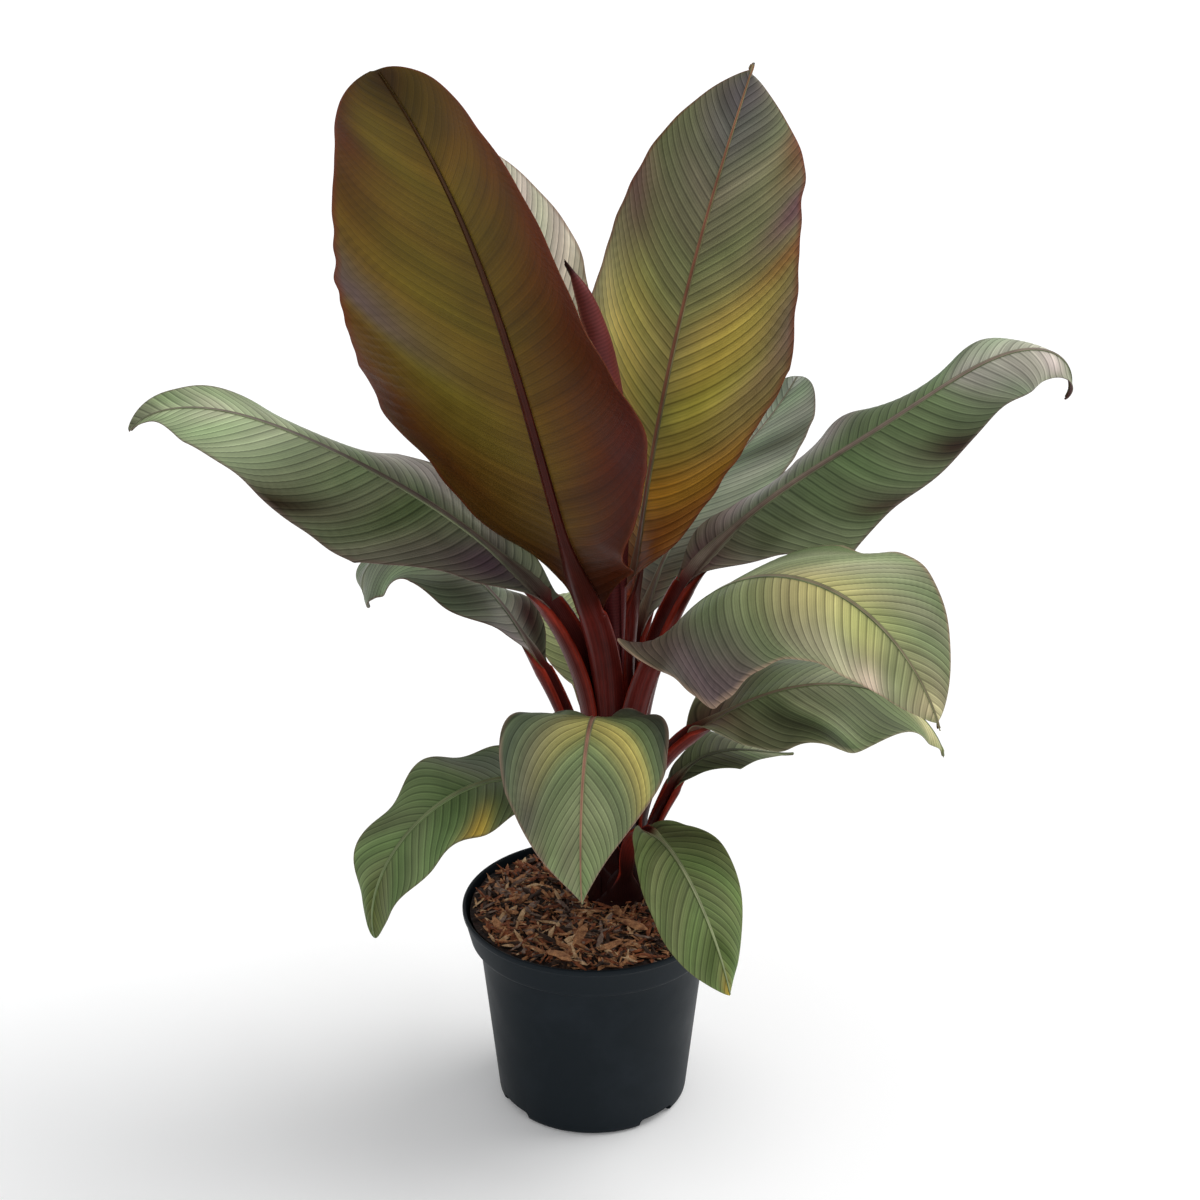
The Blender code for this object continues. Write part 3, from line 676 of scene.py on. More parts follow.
def grown_leaf():
    """Living leaf: a waxy cuticle over ribbed tissue, satin, creased at each vein.

    The creases follow the vein spacing of the mesh, with painted shade in each furrow and a
    painted highlight on the ridge beside it. The fine veins between them are drawn 2.4 mm
    apart, coarser than in life, so that they show.
    """
    spacing = bpy.context.scene.banana_foliage.vein_spacing * 1000
    material, tree, shader = new_material("living_leaf_waxy", 0.42, 1.42, Specular_IOR_Level=0.14)
    tint, uv, place = sources(tree)
    veins = add(tree, "TexWave", {"Vector": uv, "Scale": band_scale(spacing)},
                bands_direction="Y", wave_profile="SAW").outputs["Fac"]
    fine = add(tree, "TexWave", {"Vector": uv, "Scale": band_scale(2.4), "Distortion": 0.8,
                                 "Detail": 1.0, "Detail Scale": 3.0},
               bands_direction="Y").outputs["Fac"]
    cloud = add(tree, "TexNoise", {"Vector": place, "Scale": lump_scale(26.3),
                                   "Detail": 4.0}).outputs["Fac"]
    # Painted shade in each vein's furrow and a painted highlight on the ridge beside it, as strong
    # as the tint's alpha
    colour = shaded(tree, tint.outputs["Color"], veins,
                    ((0.0, 0.52), (0.06, 0.60), (0.13, 1.16), (0.21, 1.28), (0.34, 1.04),
                     (0.70, 0.97), (0.88, 0.86), (1.0, 0.52)), tint.outputs["Alpha"])
    colour = shaded(tree, colour, fine, ((0.0, 0.84), (1.0, 1.08)), 0.5)
    colour = shaded(tree, colour, cloud, ((0.30, 0.90), (0.70, 1.08)))
    uneven_gloss(tree, shader, cloud, 0.3, 0.7, 0.38, 0.50)
    surfaced(tree, shader, colour, fine, 0.35)
    return material


def stalk_skin():
    """Banana petiole: smooth waxy skin, wine red to near black.

    Its fibres run lengthwise and are drawn 1.6 mm apart, coarser than in life, to show.
    """
    material, tree, shader = new_material("petiole_skin_waxy", 0.36, 1.42,
                                          Specular_IOR_Level=0.16)
    tint, uv, place = sources(tree)
    fibres = add(tree, "TexWave", {"Vector": uv, "Scale": band_scale(1.6), "Distortion": 1.5,
                                   "Detail": 2.0, "Detail Scale": 0.6},
                 bands_direction="X").outputs["Fac"]
    cloud = add(tree, "TexNoise", {"Vector": place, "Scale": lump_scale(16.7),
                                   "Detail": 4.0}).outputs["Fac"]
    colour = shaded(tree, tint.outputs["Color"], fibres, ((0.0, 0.78), (0.6, 1.05)))
    colour = shaded(tree, colour, cloud, ((0.3, 0.80), (0.7, 1.15)))
    surfaced(tree, shader, colour, fibres, 0.3)
    return material


def rolled_leaf_skin():
    """Furled leaf: tender waxy tissue, wine red, with fine pale veins 3 mm apart round it."""
    material, tree, shader = new_material("furled_leaf_waxy", 0.38, 1.42,
                                          Specular_IOR_Level=0.16)
    tint = add(tree, "Attribute", attribute_name="tint").outputs["Color"]
    uv = add(tree, "UVMap").outputs["UV"]
    veins = add(tree, "TexWave", {"Vector": uv, "Scale": band_scale(3.0), "Distortion": 1.0,
                                  "Detail": 1.0}, bands_direction="Y").outputs["Fac"]
    colour = shaded(tree, tint, veins, ((0.0, 0.82), (1.0, 1.10)))
    surfaced(tree, shader, colour, veins, 0.3)
    return material


def nursery_plastic():
    """Moulded polypropylene: semi-matte, with a pebbled skin and a little dust in patches.

    The pebbles are drawn 0.9 mm across, coarser than in life, so that they show.
    """
    material, tree, shader = new_material("polypropylene_moulded", 0.5, 1.49,
                                          Specular_IOR_Level=0.13)
    place = add(tree, "TexCoord").outputs["Object"]
    dust = add(tree, "TexNoise", {"Vector": place, "Scale": lump_scale(71.4), "Detail": 8.0,
                                  "Roughness": 0.6}).outputs["Fac"]
    pebbles = add(tree, "TexNoise", {"Vector": place, "Scale": lump_scale(0.909),
                                     "Detail": 2.0}).outputs["Fac"]
    dusty = add(tree, "ValToRGB", {"Fac": dust}, ((0.50, 0.0), (0.85, 0.10))).outputs["Color"]
    colour = add(tree, "Mix", {0: dusty, 6: bpy.context.scene.banana_pot.colour, 7: DUST_TINT},
                 data_type="RGBA", blend_type="MIX").outputs[2]
    uneven_gloss(tree, shader, dust, 0.3, 0.8, 0.44, 0.62)
    surfaced(tree, shader, colour, pebbles, 0.25)
    return material


def bark(name, dark, pale):
    """Broken bark: dry, rough and fibrous, with paler torn faces some 6 mm across."""
    material, tree, shader = new_material(name, 0.88, 1.45)
    place = add(tree, "TexCoord").outputs["Object"]
    torn = add(tree, "TexNoise", {"Vector": place, "Scale": lump_scale(6.25), "Detail": 6.0,
                                  "Roughness": 0.7}).outputs["Fac"]
    fibre = add(tree, "TexNoise", {"Vector": place, "Scale": lump_scale(1.11),
                                   "Detail": 3.0}).outputs["Fac"]
    faces = add(tree, "ValToRGB", {"Fac": torn}, ((0.36, dark), (0.64, pale))).outputs["Color"]
    colour = shaded(tree, faces, fibre, ((0.3, 0.72), (0.7, 1.15)))
    surfaced(tree, shader, colour, fibre, 0.6, 0.0004)
    return material


# How a leaf runs through space

def through(share, start, middle, end):
    """A smooth value with these three at shares 0, 0.5 and 1."""
    return (start * (1 - share) * (1 - 2 * share) + 4 * middle * share * (1 - share)
            + end * share * (2 * share - 1))


def smooth(share):
    """0 to 1, with a soft start and end."""
    share = np.clip(share, 0, 1)
    return share * share * (3 - 2 * share)


def ripple(seed, across, along):
    """Smooth noise from about -1 to 1: sines at random slants over two scaled axes."""
    draw = random.Random(seed)
    total = np.zeros(np.broadcast(across, along).shape)
    for _ in range(7):
        slant = draw.uniform(0, 2 * math.pi)
        rate = draw.uniform(0.6, 1.8)
        late = draw.uniform(0, 2 * math.pi)
        total += np.sin(rate * (math.cos(slant) * across + math.sin(slant) * along) + late)
    return total / 3.2


def seed_of(leaf):
    """The start of a leaf's own random patterns."""
    return sum(map(ord, leaf.name))


def stem_radius(height):
    """Radius of the false stem at a height."""
    radii, heights = zip(*STEM_PROFILE)
    return np.interp(height, heights, radii)


def follow(steps, lean, heading, start):
    """Integrate a line that leans and turns, with its upper side and right side."""
    lean, heading = np.radians(lean), np.radians(heading)
    tangent = np.stack([np.sin(lean) * np.cos(heading), np.sin(lean) * np.sin(heading),
                        np.cos(lean)], -1)
    normal = np.stack([-np.cos(lean) * np.cos(heading), -np.cos(lean) * np.sin(heading),
                       np.sin(lean)], -1)
    moved = np.diff(steps)[:, None] * (tangent[1:] + tangent[:-1]) / 2
    centre = np.asarray(start) + np.concatenate([np.zeros((1, 3)), np.cumsum(moved, 0)])
    return centre, normal, np.cross(tangent, normal)


def layers_over(leaf, height):
    """How many sheaths of lower leaves lie over this one at a height."""
    return sum(smooth((other.height - height) / SHEATH_FADE + 0.5)
               for other in LEAVES if other.height < leaf.height)


def sheath_length(leaf):
    """How far the sheath runs down from the petiole's foot: at most to just below the mulch."""
    return min(SHEATH_LENGTH, leaf.height - MULCH_TOP + 0.004)


def midrib(leaf):
    """Arc lengths from the neck, with the centre, upper side and right side at each."""
    below = np.linspace(-leaf.petiole, 0, round(leaf.petiole / MIDRIB_STEP), endpoint=False)
    steps = np.concatenate([below, np.linspace(0, leaf.blade, round(leaf.blade / MIDRIB_STEP))])
    up_petiole = np.clip(steps / leaf.petiole + 1, 0, 1)
    along = np.clip(steps / leaf.blade, 0, 1)
    at_foot, at_neck, at_middle, at_tip = leaf.lean
    lean = np.where(steps < 0, at_foot + (at_neck - at_foot) * up_petiole ** 1.4,
                    through(along, at_neck, at_middle, at_tip) + leaf.hook * along ** 6)
    heading = leaf.facing + leaf.turn * up_petiole + leaf.swing * along ** 2
    away = stem_radius(leaf.height) + GAP
    facing = math.radians(leaf.facing)
    foot = (STEM_X + away * math.cos(facing), STEM_Y + away * math.sin(facing), leaf.height)
    centre, normal, side = follow(steps, lean, heading, foot)
    neck_roll, tip_roll = leaf.roll
    roll = np.radians(neck_roll * up_petiole + (tip_roll - neck_roll) * along)[:, None]
    up = normal * np.cos(roll) + side * np.sin(roll)
    right = side * np.cos(roll) - normal * np.sin(roll)
    deep = np.linspace(sheath_length(leaf), 0.001, 40)
    height = leaf.height - deep
    slope = math.tan(math.radians(min(max(at_foot, 0), STEEPEST_SHEATH)))
    fading = np.exp(-deep / SHEATH_EASE)
    away = (stem_radius(height) + GAP - SHEATH_LAYER * layers_over(leaf, height)
            - slope * deep * fading)
    sheath = np.stack([STEM_X + away * math.cos(facing), STEM_Y + away * math.sin(facing),
                       height], -1)
    tilt = np.radians(at_foot * fading)
    inward = np.stack([-np.cos(tilt) * math.cos(facing), -np.cos(tilt) * math.sin(facing),
                       np.sin(tilt)], -1)
    level = np.tile([math.sin(facing), -math.cos(facing), 0], (len(deep), 1))
    return (np.concatenate([-leaf.petiole - deep, steps]), np.concatenate([sheath, centre]),
            np.concatenate([inward, up]), np.concatenate([level, right]))


def read_line(steps, values, wanted):
    """Read rows of values at other arc lengths, rounded between the rows."""
    slopes = np.gradient(values, steps, axis=0)
    after = np.clip(np.searchsorted(steps, wanted), 1, len(steps) - 1)
    before = after - 1
    span = steps[after] - steps[before]
    share = np.clip((wanted - steps[before]) / span, 0, 1)[:, None]
    span = span[:, None]
    return (values[before] * (1 + 2 * share) * (1 - share) ** 2
            + slopes[before] * span * share * (1 - share) ** 2
            + values[after] * share ** 2 * (3 - 2 * share)
            + slopes[after] * span * share ** 2 * (share - 1))


# The section of a petiole and of a blade

def stalk_half_width(leaf):
    """Half width of the petiole at its middle."""
    fixed, growing = STALK_HALF_WIDTH
    return (fixed + growing * leaf.blade) * leaf.stalk


def blade_half_width(leaf, across, along):
    """Half width of the blade on the side of each point, at a share of its length."""
    base_fullness, tip_fullness, bluntness = leaf.outline
    before = np.clip(1 - along / leaf.widest, 0, 1)
    after = np.clip((along - leaf.widest) / (1 - leaf.thread - leaf.widest), 0, 1)
    shape = (1 - before ** base_fullness) * (1 - after ** tip_fullness) ** bluntness
    shape = shape * (1 - leaf.drip * smooth((along - 0.84) / 0.1))
    side, place, fuller, spread = leaf.bulge
    near = np.exp(-((along - place) / spread) ** 2)
    shape = shape * (1 + fuller * near * (across * side > 0))
    neck = NECK_OVER_STALK * stalk_half_width(leaf)
    widest = np.where(across < 0, leaf.half_width[0], leaf.half_width[1])
    return np.maximum(widest * shape + neck * (1 - along) ** 2, THREAD_HALF_WIDTH)


def section(leaf, across, step):
    """Half width, fold and curl of the upper side, for points at these arc lengths."""
    stalk = stalk_half_width(leaf)
    foot, neck = FOOT_OVER_STALK * stalk, NECK_OVER_STALK * stalk
    up = np.clip(1 + step / leaf.petiole, 0, 1)
    along = np.clip(step / leaf.blade, 0, 1)
    deep = np.maximum(-leaf.petiole - step, 0)
    radius = stem_radius(leaf.height - deep)
    wrapped = foot + (radius * math.radians(SHEATH_WRAP) - foot) * smooth(deep / SHEATH_SPREAD)
    left = across < 0
    open_now = smooth(along / leaf.opening)
    flat_now = 1 - leaf.level * smooth((along - 0.88) / 0.1)
    fold = np.where(left, *leaf.fold)
    curl = np.where(left, *leaf.curl)
    on_blade = step >= 0
    in_sheath = deep > 0
    width = np.where(on_blade, blade_half_width(leaf, across, along),
                     np.where(in_sheath, wrapped, through(up, foot, stalk, neck)))
    fold = np.where(on_blade, (NECK_FOLD + (fold - NECK_FOLD) * open_now) * flat_now,
                    NECK_FOLD * up)
    foot_curl = math.degrees(foot / stem_radius(leaf.height))
    curl = np.where(on_blade, (NECK_CURL + (curl - NECK_CURL) * open_now) * flat_now,
                    np.where(in_sheath, np.degrees(wrapped / radius),
                             through(up, foot_curl, MIDDLE_CURL, NECK_CURL)))
    return width, np.radians(fold), np.radians(curl)


def upper_side(leaf, line, step, across):
    """Points on the upper side, at arc lengths and at shares across the half width."""
    steps, centre, up, right = line
    width, fold, curl = section(leaf, across, step)
    share = np.abs(across)
    bend = curl / width
    bend = np.where(np.abs(bend) < 1e-6, 1e-6, bend)
    tilt = fold + bend * width * share
    out = (np.sin(tilt) - np.sin(fold)) / bend
    rise = (np.cos(fold) - np.cos(tilt)) / bend
    along = np.clip(step / leaf.blade, 0, 1)
    height = np.where(across < 0, *leaf.wave)
    late = np.where(across < 0, *leaf.phase)
    rise = rise + (height * np.sqrt(np.sin(math.pi * along) + 1e-12) * share ** 2
                   * np.sin(2 * math.pi * (leaf.waves * along + late)))
    return (read_line(steps, centre, step) + (np.sign(across) * out)[:, None]
            * read_line(steps, right, step) + rise[:, None] * read_line(steps, up, step))


def facing_up(surface, step, across):
    """Unit normals of a surface that is a function of arc length and share across."""
    forward = surface(step + 0.0006, across) - surface(step - 0.0006, across)
    sideways = surface(step, across + 0.012) - surface(step, across - 0.012)
    normal = np.cross(sideways, forward)
    return normal / np.maximum(np.linalg.norm(normal, axis=1), 1e-12)[:, None]


def slab(name, columns, rows):
    """A closed flat slab, with the shares across and along of its upper vertices."""
    piece, across, along = grid(name, columns, rows)
    modify(piece, "SOLIDIFY", thickness=0.01, offset=-1)
    return piece, across, along


def shape_slab(piece, upper, lower):
    """Move a slab's upper vertices, which come first, and the lower ones that match them."""
    move_vertices(piece.data, np.concatenate([upper, lower]))
    smoothed(piece)


# Blades

def vein_start(leaf, skin, step, across):
    """The arc length at which the vein through a point leaves the midrib."""
    along = np.clip(step / leaf.blade, 0, 1)
    width = blade_half_width(leaf, across, along)
    share = np.abs(across)
    at_neck, at_tip = skin.rake
    rake = at_neck + (at_tip - at_neck) * along ** 2
    start = step - width * (rake * share + 0.30 * share ** 3.5) * smooth(along / 0.12)
    soft = 0.006             # how gently the veins bunch up beside the neck
    return soft * np.logaddexp(0, start / soft)


def mixed(colours, tint, weight):
    """Blend a tint into colours, by a weight at each point."""
    weight = np.clip(weight, 0, 1)[:, None]
    return colours * (1 - weight) + linear(tint) * weight


def blade_tints(leaf, skin, across, along, vein, lower):
    """The colours of one face of a blade."""
    seed = seed_of(leaf) + 50 * lower
    colours = np.tile(linear(skin.lower if lower else skin.upper), (len(across), 1))
    drift = 0.05 * ripple(seed, across * 2.2, vein * 60)
    for patch in skin.patches:
        if patch.lower == lower:
            far = (((across - patch.across + drift) / patch.wide) ** 2
                   + ((vein / leaf.blade - patch.along + 0.5 * drift) / patch.long) ** 2)
            colours = mixed(colours, patch.colour, patch.strength * np.exp(-far))
    near_base = np.exp(-(along / 0.055) ** 2) * (1 - 0.4 * np.abs(across))
    colours = mixed(colours, skin.base, 0.9 * near_base)
    streaks = 1 + 0.11 * ripple(seed + 1, across * 1.6, vein * 420)
    clouds = 1 + 0.09 * ripple(seed + 2, across * 3.0, along * 13)
    bands = 1 + 0.15 * ripple(seed + 9, across * 2.0, vein * 130)
    colours = colours * (streaks * clouds * bands)[:, None]
    mauve = 0.07 * ripple(seed + 10, across * 2.6, vein * 95)
    colours = colours * np.stack([1 + 0.9 * mauve, 1 - 0.3 * mauve, 1 + mauve], -1)
    edge = smooth((np.abs(across) - 0.965 + 0.01 * ripple(seed + 3, across, along * 90)) / 0.03)
    return mixed(colours, skin.margin, 0.85 * edge)


class BANANA_OT_blades(bpy.types.Operator):
    """Shape the blades: thin, furrowed along their veins, waved and ruffled at their margins"""

    bl_idname = "banana.blades"
    bl_label = "Blades"

    def execute(self, context):
        material = grown_leaf()
        for leaf in LEAVES:
            self.blade(leaf, SKINS[leaf.name], material)
        return {"FINISHED"}

    def blade(self, leaf, skin, material):
        """One blade: a slab laid along the midrib, with its veins, swellings and ruffle."""
        settings = bpy.context.scene.banana_foliage
        line = midrib(leaf)
        rows = max(round(leaf.blade / settings.row_spacing), 40)
        piece, across, share = slab("leaf_" + leaf.name, settings.columns, rows)
        # Columns crowd towards the midrib, and rows towards the tip
        across = np.sign(across) * np.abs(across) ** 1.15
        step = leaf.blade * (1 - (1 - share) ** 1.12)
        step = np.clip(step, 0.0002, leaf.blade - 0.0002)
        along = step / leaf.blade
        seed = seed_of(leaf)

        def surface(at, over):
            """The blade's even surface."""
            return upper_side(leaf, line, at, over)

        width = blade_half_width(leaf, across, along)
        spread = np.abs(across)
        # Veins wander by about 1.6 mm, and their furrows fade out beside midrib and margin
        vein = vein_start(leaf, skin, step, across)
        vein = vein + 0.0016 * ripple(seed + 5, across * 1.5, vein * 45)
        wide_enough = smooth(width * spread / 0.012) * smooth((1.02 - spread) / 0.16)
        furrow = 2 * np.abs(np.sin(math.pi * vein / settings.vein_spacing)) ** 0.8 - 1
        lift = settings.vein_relief * furrow * wide_enough
        # Away from the midrib the blade swells by about 1.2 mm and ruffles at its margin
        free = smooth(width * spread / 0.022 - 0.2) * smooth(width / 0.05)
        lift = lift + 0.0012 * ripple(seed + 6, across * 3.2, along * 11) * free
        ruffle = ripple(seed + 7, np.sign(across) * 40, step * 90)
        lift = lift + 0.0010 * ruffle * spread ** 6 * free
        normals = facing_up(surface, step, across)
        uneven = 1 + 0.011 * spread ** 4 * ripple(seed + 8, np.sign(across) * 9, step * 130)
        upper = surface(step, across * uneven) + (lift - BLADE_INSET)[:, None] * normals
        thickness = settings.thickness * (1 - 0.35 * spread ** 4)
        lower = upper - thickness[:, None] * normals
        shape_slab(piece, upper, lower)
        set_uv(piece.data, np.tile(across * width, 2), np.tile(vein, 2))
        set_tint(piece.data, np.concatenate([
            blade_tints(leaf, skin, across, along, vein, False),
            blade_tints(leaf, skin, across, along, vein, True)]),
            np.repeat(skin.lines, len(across)))
        nodes = ["blade_" + leaf.name]
        if leaf.cut < 1:
            nodes.append("blade_end_" + leaf.name)
        dressed(piece, material, "leaf_skin", *nodes)


# Petioles

def rib_half_width(leaf, along):
    """Half width of the midrib, down to a point at the tip."""
    neck = NECK_OVER_STALK * stalk_half_width(leaf)
    return neck * (1 - 0.62 * smooth(along / 0.20)) * (1 - along) ** 0.85 + 0.0007


class BANANA_OT_petioles(bpy.types.Operator):
    """Shape each petiole, from the sheath round the stem to the midrib under the blade"""

    bl_idname = "banana.petioles"
    bl_label = "Petioles and midribs"

    def execute(self, context):
        material = stalk_skin()
        for leaf in LEAVES:
            self.petiole(leaf, SKINS[leaf.name], material)
        return {"FINISHED"}

    def petiole(self, leaf, skin, material):
        """One piece: the sheath, the channelled petiole and the midrib up to the tip."""
        settings = bpy.context.scene.banana_foliage
        line = midrib(leaf)
        below = sheath_length(leaf)
        length = below + leaf.petiole + leaf.blade
        rows = round(length / STALK_ROW_SPACING)
        piece, across, share = slab("stalk_" + leaf.name, settings.stalk_columns, rows)
        across = np.sin(across * math.pi / 2)
        lowest = -below - leaf.petiole
        step = np.clip(lowest + length * share, lowest + 0.0011, leaf.blade * 0.995)
        up = np.clip(1 + step / leaf.petiole, 0, 1)
        along = np.clip(step / leaf.blade, 0, 1)
        on_blade = step > 0
        deep = np.maximum(-leaf.petiole - step, 0)

        def surface(at, over):
            """The petiole's channel, and beyond the neck only the strip beside the midrib."""
            part = np.clip(at / leaf.blade, 0, 1)
            narrow = rib_half_width(leaf, part) / blade_half_width(leaf, over, part)
            return upper_side(leaf, line, at, np.where(at > 0, over * np.minimum(narrow, 1), over))

        # Thickness: rounded across, thickest at the neck, and thin where the sheath wraps
        stalk = stalk_half_width(leaf)
        rounded = np.sqrt(np.clip(1 - across ** 2, 0, 1))
        thick = np.where(on_blade, NECK_THICKNESS * (1 - along) ** 1.1 + STALK_EDGE,
                         through(up, FOOT_THICKNESS, STALK_THICKNESS * stalk,
                                 NECK_THICKNESS + STALK_EDGE))
        thick = np.where(deep > 0, SHEATH_THICKNESS + (FOOT_THICKNESS - SHEATH_THICKNESS)
                         * np.exp(-deep / 0.016), thick)
        thin_edge = np.where(on_blade, STALK_EDGE, 0.0012 - 0.0007 * smooth(deep / 0.03))
        thick = thick * rounded ** 0.9 + thin_edge
        # On the blade the rib stands proud, with sunk sides and a groove along its middle
        raised = np.where(on_blade, (0.0006 - 0.0018 * smooth((np.abs(across) - 0.72) / 0.28)
                                     - 0.0007 * np.exp(-(across / 0.28) ** 2) * (1 - along)), 0.0)
        raised = raised * smooth(along / 0.05)
        seed = seed_of(leaf)
        ridges = 0.00018 * ripple(seed, across * 11, step * 7) * smooth(1.2 - deep / 0.05)
        normals = facing_up(surface, step, across)
        upper = surface(step, across) + raised[:, None] * normals
        lower = upper - (thick + ridges)[:, None] * normals
        shape_slab(piece, upper, lower)
        width = np.where(on_blade, rib_half_width(leaf, along), section(leaf, across, step)[0])
        set_uv(piece.data, np.tile(across * width, 2), np.tile(step, 2))
        set_tint(piece.data, self.tints(skin, across, up, along, deep, step))
        dressed(piece, material, "stalk_skin", "petiole_" + leaf.name)

    def tints(self, skin, across, up, along, deep, step):
        """The colours of the upper side, and then of the lower one."""
        start = np.tile(linear(PETIOLE_TINT), (len(across), 1))
        start = mixed(start, SHEATH_TINT, 1 - smooth(up / 0.5))
        # Red edges, painted brighter as highlights
        edge = smooth((np.abs(across) - 0.80) / 0.15) * (1 - smooth(deep / 0.02))
        start = mixed(start, PETIOLE_EDGE_AND_HIGHLIGHT_TINT, 0.85 * edge)
        onto = smooth(step / 0.03)
        upper = mixed(start, skin.rib, onto)
        upper = mixed(upper, skin.upper, 0.85 * onto * smooth(along / 0.25)
                      * smooth((np.abs(across) - 0.38) / 0.3))
        # A darker line beside the middle of the rib, painted shade along its groove
        groove_shade = np.exp(-((across - 0.30) / 0.20) ** 2) * onto * (1 - along)
        upper = mixed(upper, RIB_BELOW_TINT, 0.6 * groove_shade)
        lower = mixed(start, RIB_BELOW_TINT, onto)
        lower = mixed(lower, RIB_TIP_TINT, 0.55 * smooth((along - 0.3) / 0.6))
        shade = (1 + 0.12 * ripple(4, across * 3, step * 70))[:, None]
        return np.concatenate([upper * shade, lower * shade])


# The stem and the furled leaf

class BANANA_OT_stem(bpy.types.Operator):
    """Shape the core of the false stem: fluted, with a swollen foot"""

    bl_idname = "banana.stem"
    bl_label = "False stem"

    def execute(self, context):
        choose()
        bpy.ops.mesh.primitive_cylinder_add(vertices=CORE_SIDES, radius=1, depth=2)
        piece = added("false_stem_core")
        mesh = piece.data
        bpy.ops.object.mode_set(mode="EDIT")
        bpy.ops.mesh.select_mode(type="EDGE")
        bpy.ops.mesh.select_all(action="DESELECT")
        bpy.ops.object.mode_set(mode="OBJECT")
        ends = positions(mesh)[:, 2]
        for edge in mesh.edges:
            first, second = edge.vertices
            edge.select = bool(abs(ends[first] - ends[second]) > 1)
        bpy.ops.object.mode_set(mode="EDIT")
        bpy.ops.mesh.subdivide(number_cuts=CORE_RINGS - 2)
        bpy.ops.object.mode_set(mode="OBJECT")
        flat = positions(mesh)
        angle = np.arctan2(flat[:, 1], flat[:, 0])
        top = STEM_PROFILE[-1][1] - 0.001
        height = CORE_FOOT + (top - CORE_FOOT) * (flat[:, 2] + 1) / 2
        radius = (stem_radius(height) - CORE_INSET) * (
            1 + 0.018 * np.sin(CORE_FLUTES * angle + 30 * height)
            + 0.012 * ripple(3, np.cos(angle) * 3, height * 60))
        points = np.stack([STEM_X + radius * np.cos(angle), STEM_Y + radius * np.sin(angle),
                           height], -1)
        move_vertices(mesh, points)
        set_uv(mesh, angle * 0.025, height)
        colours = np.tile(linear(SHEATH_TINT), (len(points), 1))
        set_tint(mesh, colours * (1 + 0.2 * ripple(8, angle * 6, height * 90))[:, None])
        smoothed(piece)
        dressed(piece, stalk_skin(), "stalk_skin", "false_stem")
        return {"FINISHED"}


class BANANA_OT_rolled_leaf(bpy.types.Operator):
    """Shape the youngest leaf: rolled up round itself, with its margin opening near the top"""

    bl_idname = "banana.rolled_leaf"
    bl_label = "Rolled leaf"

    def execute(self, context):
        line_steps = np.linspace(0, ROLLED_LENGTH, 120)
        lean = ROLLED_LEAN * (line_steps / ROLLED_LENGTH) ** ROLLED_STIFFNESS
        start = (STEM_X, STEM_Y, STEM_PROFILE[-1][1] - 0.004)
        centre, up, right = follow(line_steps, lean, np.full(120, ROLLED_FACING), start)
        piece, across, share = slab("furled_leaf", 110, 240)
        over = (across + 1) / 2
        step = share * ROLLED_LENGTH
        radii = np.interp(share, *zip(*ROLLED_RADII))
        ahead = np.interp(np.clip(share + ROLLED_SMOOTHING, 0, 1), *zip(*ROLLED_RADII))
        radii = 0.5 * (radii + ahead) - GAP
        # Its turns wind outwards and twist a little as they rise
        angle = 2 * math.pi * ROLLED_TURNS * over + 2.4 * share - 0.9
        wound = 0.40 + 0.60 * over
        # The outermost margin stands off in the upper half, and is wavy there
        opening = (0.0110 * np.exp(-((share - 0.66) / 0.13) ** 2)
                   * smooth((over - 0.86) / 0.14) ** 1.5)
        wavy = (0.0012 * np.sin(step * 180) * smooth((over - 0.92) / 0.08)
                * smooth((share - 0.5) / 0.2))
        radius = radii * wound + opening + wavy * (1 - smooth((share - 0.85) / 0.1))
        middle = read_line(line_steps, centre, step)
        outward = (np.cos(angle)[:, None] * read_line(line_steps, right, step)
                   + np.sin(angle)[:, None] * read_line(line_steps, up, step))
        middle[:, 2] -= 0.006 * (1 - over) * smooth((share - 0.9) / 0.1)
        upper = middle + radius[:, None] * outward
        wall = ROLLED_WALL * np.clip(radii / 0.006, 0.25, 1)
        lower = middle + (radius - wall)[:, None] * outward
        shape_slab(piece, upper, lower)
        set_uv(piece.data, np.tile(over * 0.15, 2), np.tile(step + 0.01 * over, 2))
        colours = np.tile(linear(ROLLED_TINT), (len(over), 1))
        colours = mixed(colours, ROLLED_UPPER_TINT, 0.6 * smooth((share - 0.35) / 0.4))
        colours = mixed(colours, ROLLED_FOOT_TINT, 1 - smooth(share / 0.25))
        colours = mixed(colours, ROLLED_MARGIN_TINT, (smooth((over - 0.985) / 0.012)
                                                      * smooth((share - 0.5) / 0.15)))
        colours = mixed(colours, ROLLED_TIP_TINT, smooth((share - 0.955) / 0.03))
        colours = colours * (1 + 0.10 * ripple(21, over * 9, step * 120))[:, None]
        set_tint(piece.data, np.concatenate([colours, colours * 0.8]))
        dressed(piece, rolled_leaf_skin(), "rolled_leaf_skin", "rolled_leaf")
        return {"FINISHED"}


# The pot and its filling

